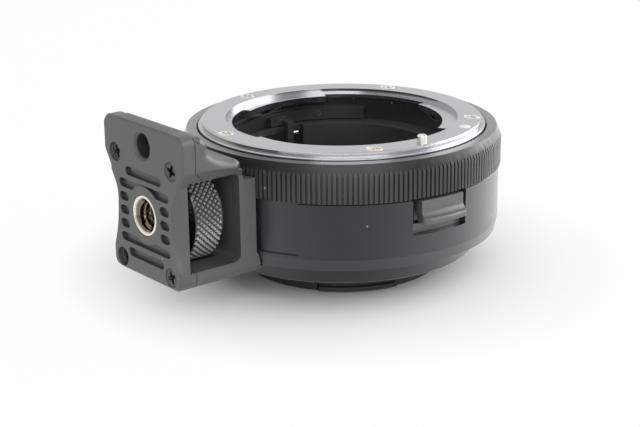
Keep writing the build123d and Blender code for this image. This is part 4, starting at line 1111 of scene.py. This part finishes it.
class ADAPTER_OT_stage(bpy.types.Operator):
    """Adds the table, the lights and the camera"""
    bl_idname = "adapter.stage"
    bl_label = "Stage"

    def execute(self, context):
        stage = context.scene.adapter_stage
        bm = bmesh.new()
        bmesh.ops.create_grid(bm, x_segments=8, y_segments=8, size=TABLE_HALF)
        mesh = bpy.data.meshes.new("table")
        bm.to_mesh(mesh)
        bm.free()
        mesh.materials.append(table_finish(stage))
        table = bpy.data.objects.new("table", mesh)
        table.location = (0.0, 0.0, CAD_LOW.z)
        context.scene.collection.objects.link(table)
        turn = stage.azimuth
        right = Vector((cos(turn), sin(turn), 0.0))
        back = Vector((-sin(turn), cos(turn), 0.0))
        up = Vector((0.0, 0.0, 1.0))
        world = bpy.data.worlds.new("white_tent")
        world.use_nodes = True
        tent = world.node_tree
        tent.links.new(tent_level(tent, stage, back), tent.nodes["Background"].inputs["Strength"])
        tent.nodes["Background"].inputs["Color"].default_value = (1.0, 1.0, 1.0, 1.0)
        context.scene.world = world
        seen = Matrix((right, back, up)).transposed()
        soft_light("key_light", seen @ Vector(KEY_PLACE), LOW_AIM, KEY_SIZE, stage.key)
        soft_light("front_light", seen @ Vector(FRONT_PLACE), LOW_AIM, FRONT_SIZE, stage.fill)
        soft_light("top_light", seen @ Vector(TOP_PLACE), TOP_AIM, TOP_SIZE, stage.top)
        forward = back * cos(stage.elevation) - up * sin(stage.elevation)
        raised = right.cross(forward)
        across = right * cos(stage.roll) + raised * sin(stage.roll)
        upward = raised * cos(stage.roll) - right * sin(stage.roll)
        target = right * stage.aside + up * stage.above
        data = bpy.data.cameras.new("camera")
        data.sensor_fit = "HORIZONTAL"
        data.sensor_width = 36.0
        data.lens = stage.lens
        data.clip_start = 0.01
        data.clip_end = 20.0
        camera = bpy.data.objects.new("camera", data)
        turned = Matrix((across, upward, -forward)).transposed().to_4x4()
        camera.matrix_world = Matrix.Translation(target - forward * stage.distance) @ turned
        context.scene.collection.objects.link(camera)
        context.scene.camera = camera
        context.scene.view_settings.view_transform = "Standard"
        return {"FINISHED"}


OPERATORS = (
    ADAPTER_OT_barrel,
    ADAPTER_OT_lens_flange,
    ADAPTER_OT_flange_screws,
    ADAPTER_OT_index_bead,
    ADAPTER_OT_throat,
    ADAPTER_OT_camera_bayonet,
    ADAPTER_OT_aperture_ring,
    ADAPTER_OT_lens_release,
    ADAPTER_OT_foot,
    ADAPTER_OT_plate_screws,
    ADAPTER_OT_tripod_bush,
    ADAPTER_OT_clamp_wheel,
    ADAPTER_OT_stage,
)


class ADAPTER_PT_sidebar(bpy.types.Panel):
    """Lists the adapter's pieces and their settings"""
    bl_idname = "ADAPTER_PT_sidebar"
    bl_label = "Lens mount adapter"
    bl_space_type = "VIEW_3D"
    bl_region_type = "UI"
    bl_category = "Adapter"

    def draw(self, context):
        column = self.layout.column(align=True)
        for operator in OPERATORS:
            column.operator(operator.bl_idname)
        scene = context.scene
        for group in (scene.adapter_finishes, scene.adapter_sizes, scene.adapter_stage):
            box = self.layout.box()
            for key in group.__annotations__:
                box.prop(group, key)


CLASSES = (AdapterFinishes, AdapterSizes, AdapterStage) + OPERATORS + (ADAPTER_PT_sidebar,)


def register():
    """Adds the classes and their settings to Blender."""
    for made in CLASSES:
        bpy.utils.register_class(made)
    bpy.types.Scene.adapter_finishes = PointerProperty(type=AdapterFinishes)
    bpy.types.Scene.adapter_sizes = PointerProperty(type=AdapterSizes)
    bpy.types.Scene.adapter_stage = PointerProperty(type=AdapterStage)


def unregister():
    """Takes the settings and the classes out again."""
    del bpy.types.Scene.adapter_stage
    del bpy.types.Scene.adapter_sizes
    del bpy.types.Scene.adapter_finishes
    for made in reversed(CLASSES):
        bpy.utils.unregister_class(made)


def main():
    """Registers the add-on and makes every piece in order."""
    register()
    bpy.ops.adapter.barrel()
    bpy.ops.adapter.lens_flange()
    bpy.ops.adapter.flange_screws()
    bpy.ops.adapter.index_bead()
    bpy.ops.adapter.throat()
    bpy.ops.adapter.camera_bayonet()
    bpy.ops.adapter.aperture_ring()
    bpy.ops.adapter.lens_release()
    bpy.ops.adapter.foot()
    bpy.ops.adapter.plate_screws()
    bpy.ops.adapter.tripod_bush()
    bpy.ops.adapter.clamp_wheel()
    bpy.ops.adapter.stage()


if __name__ == "__main__":
    main()
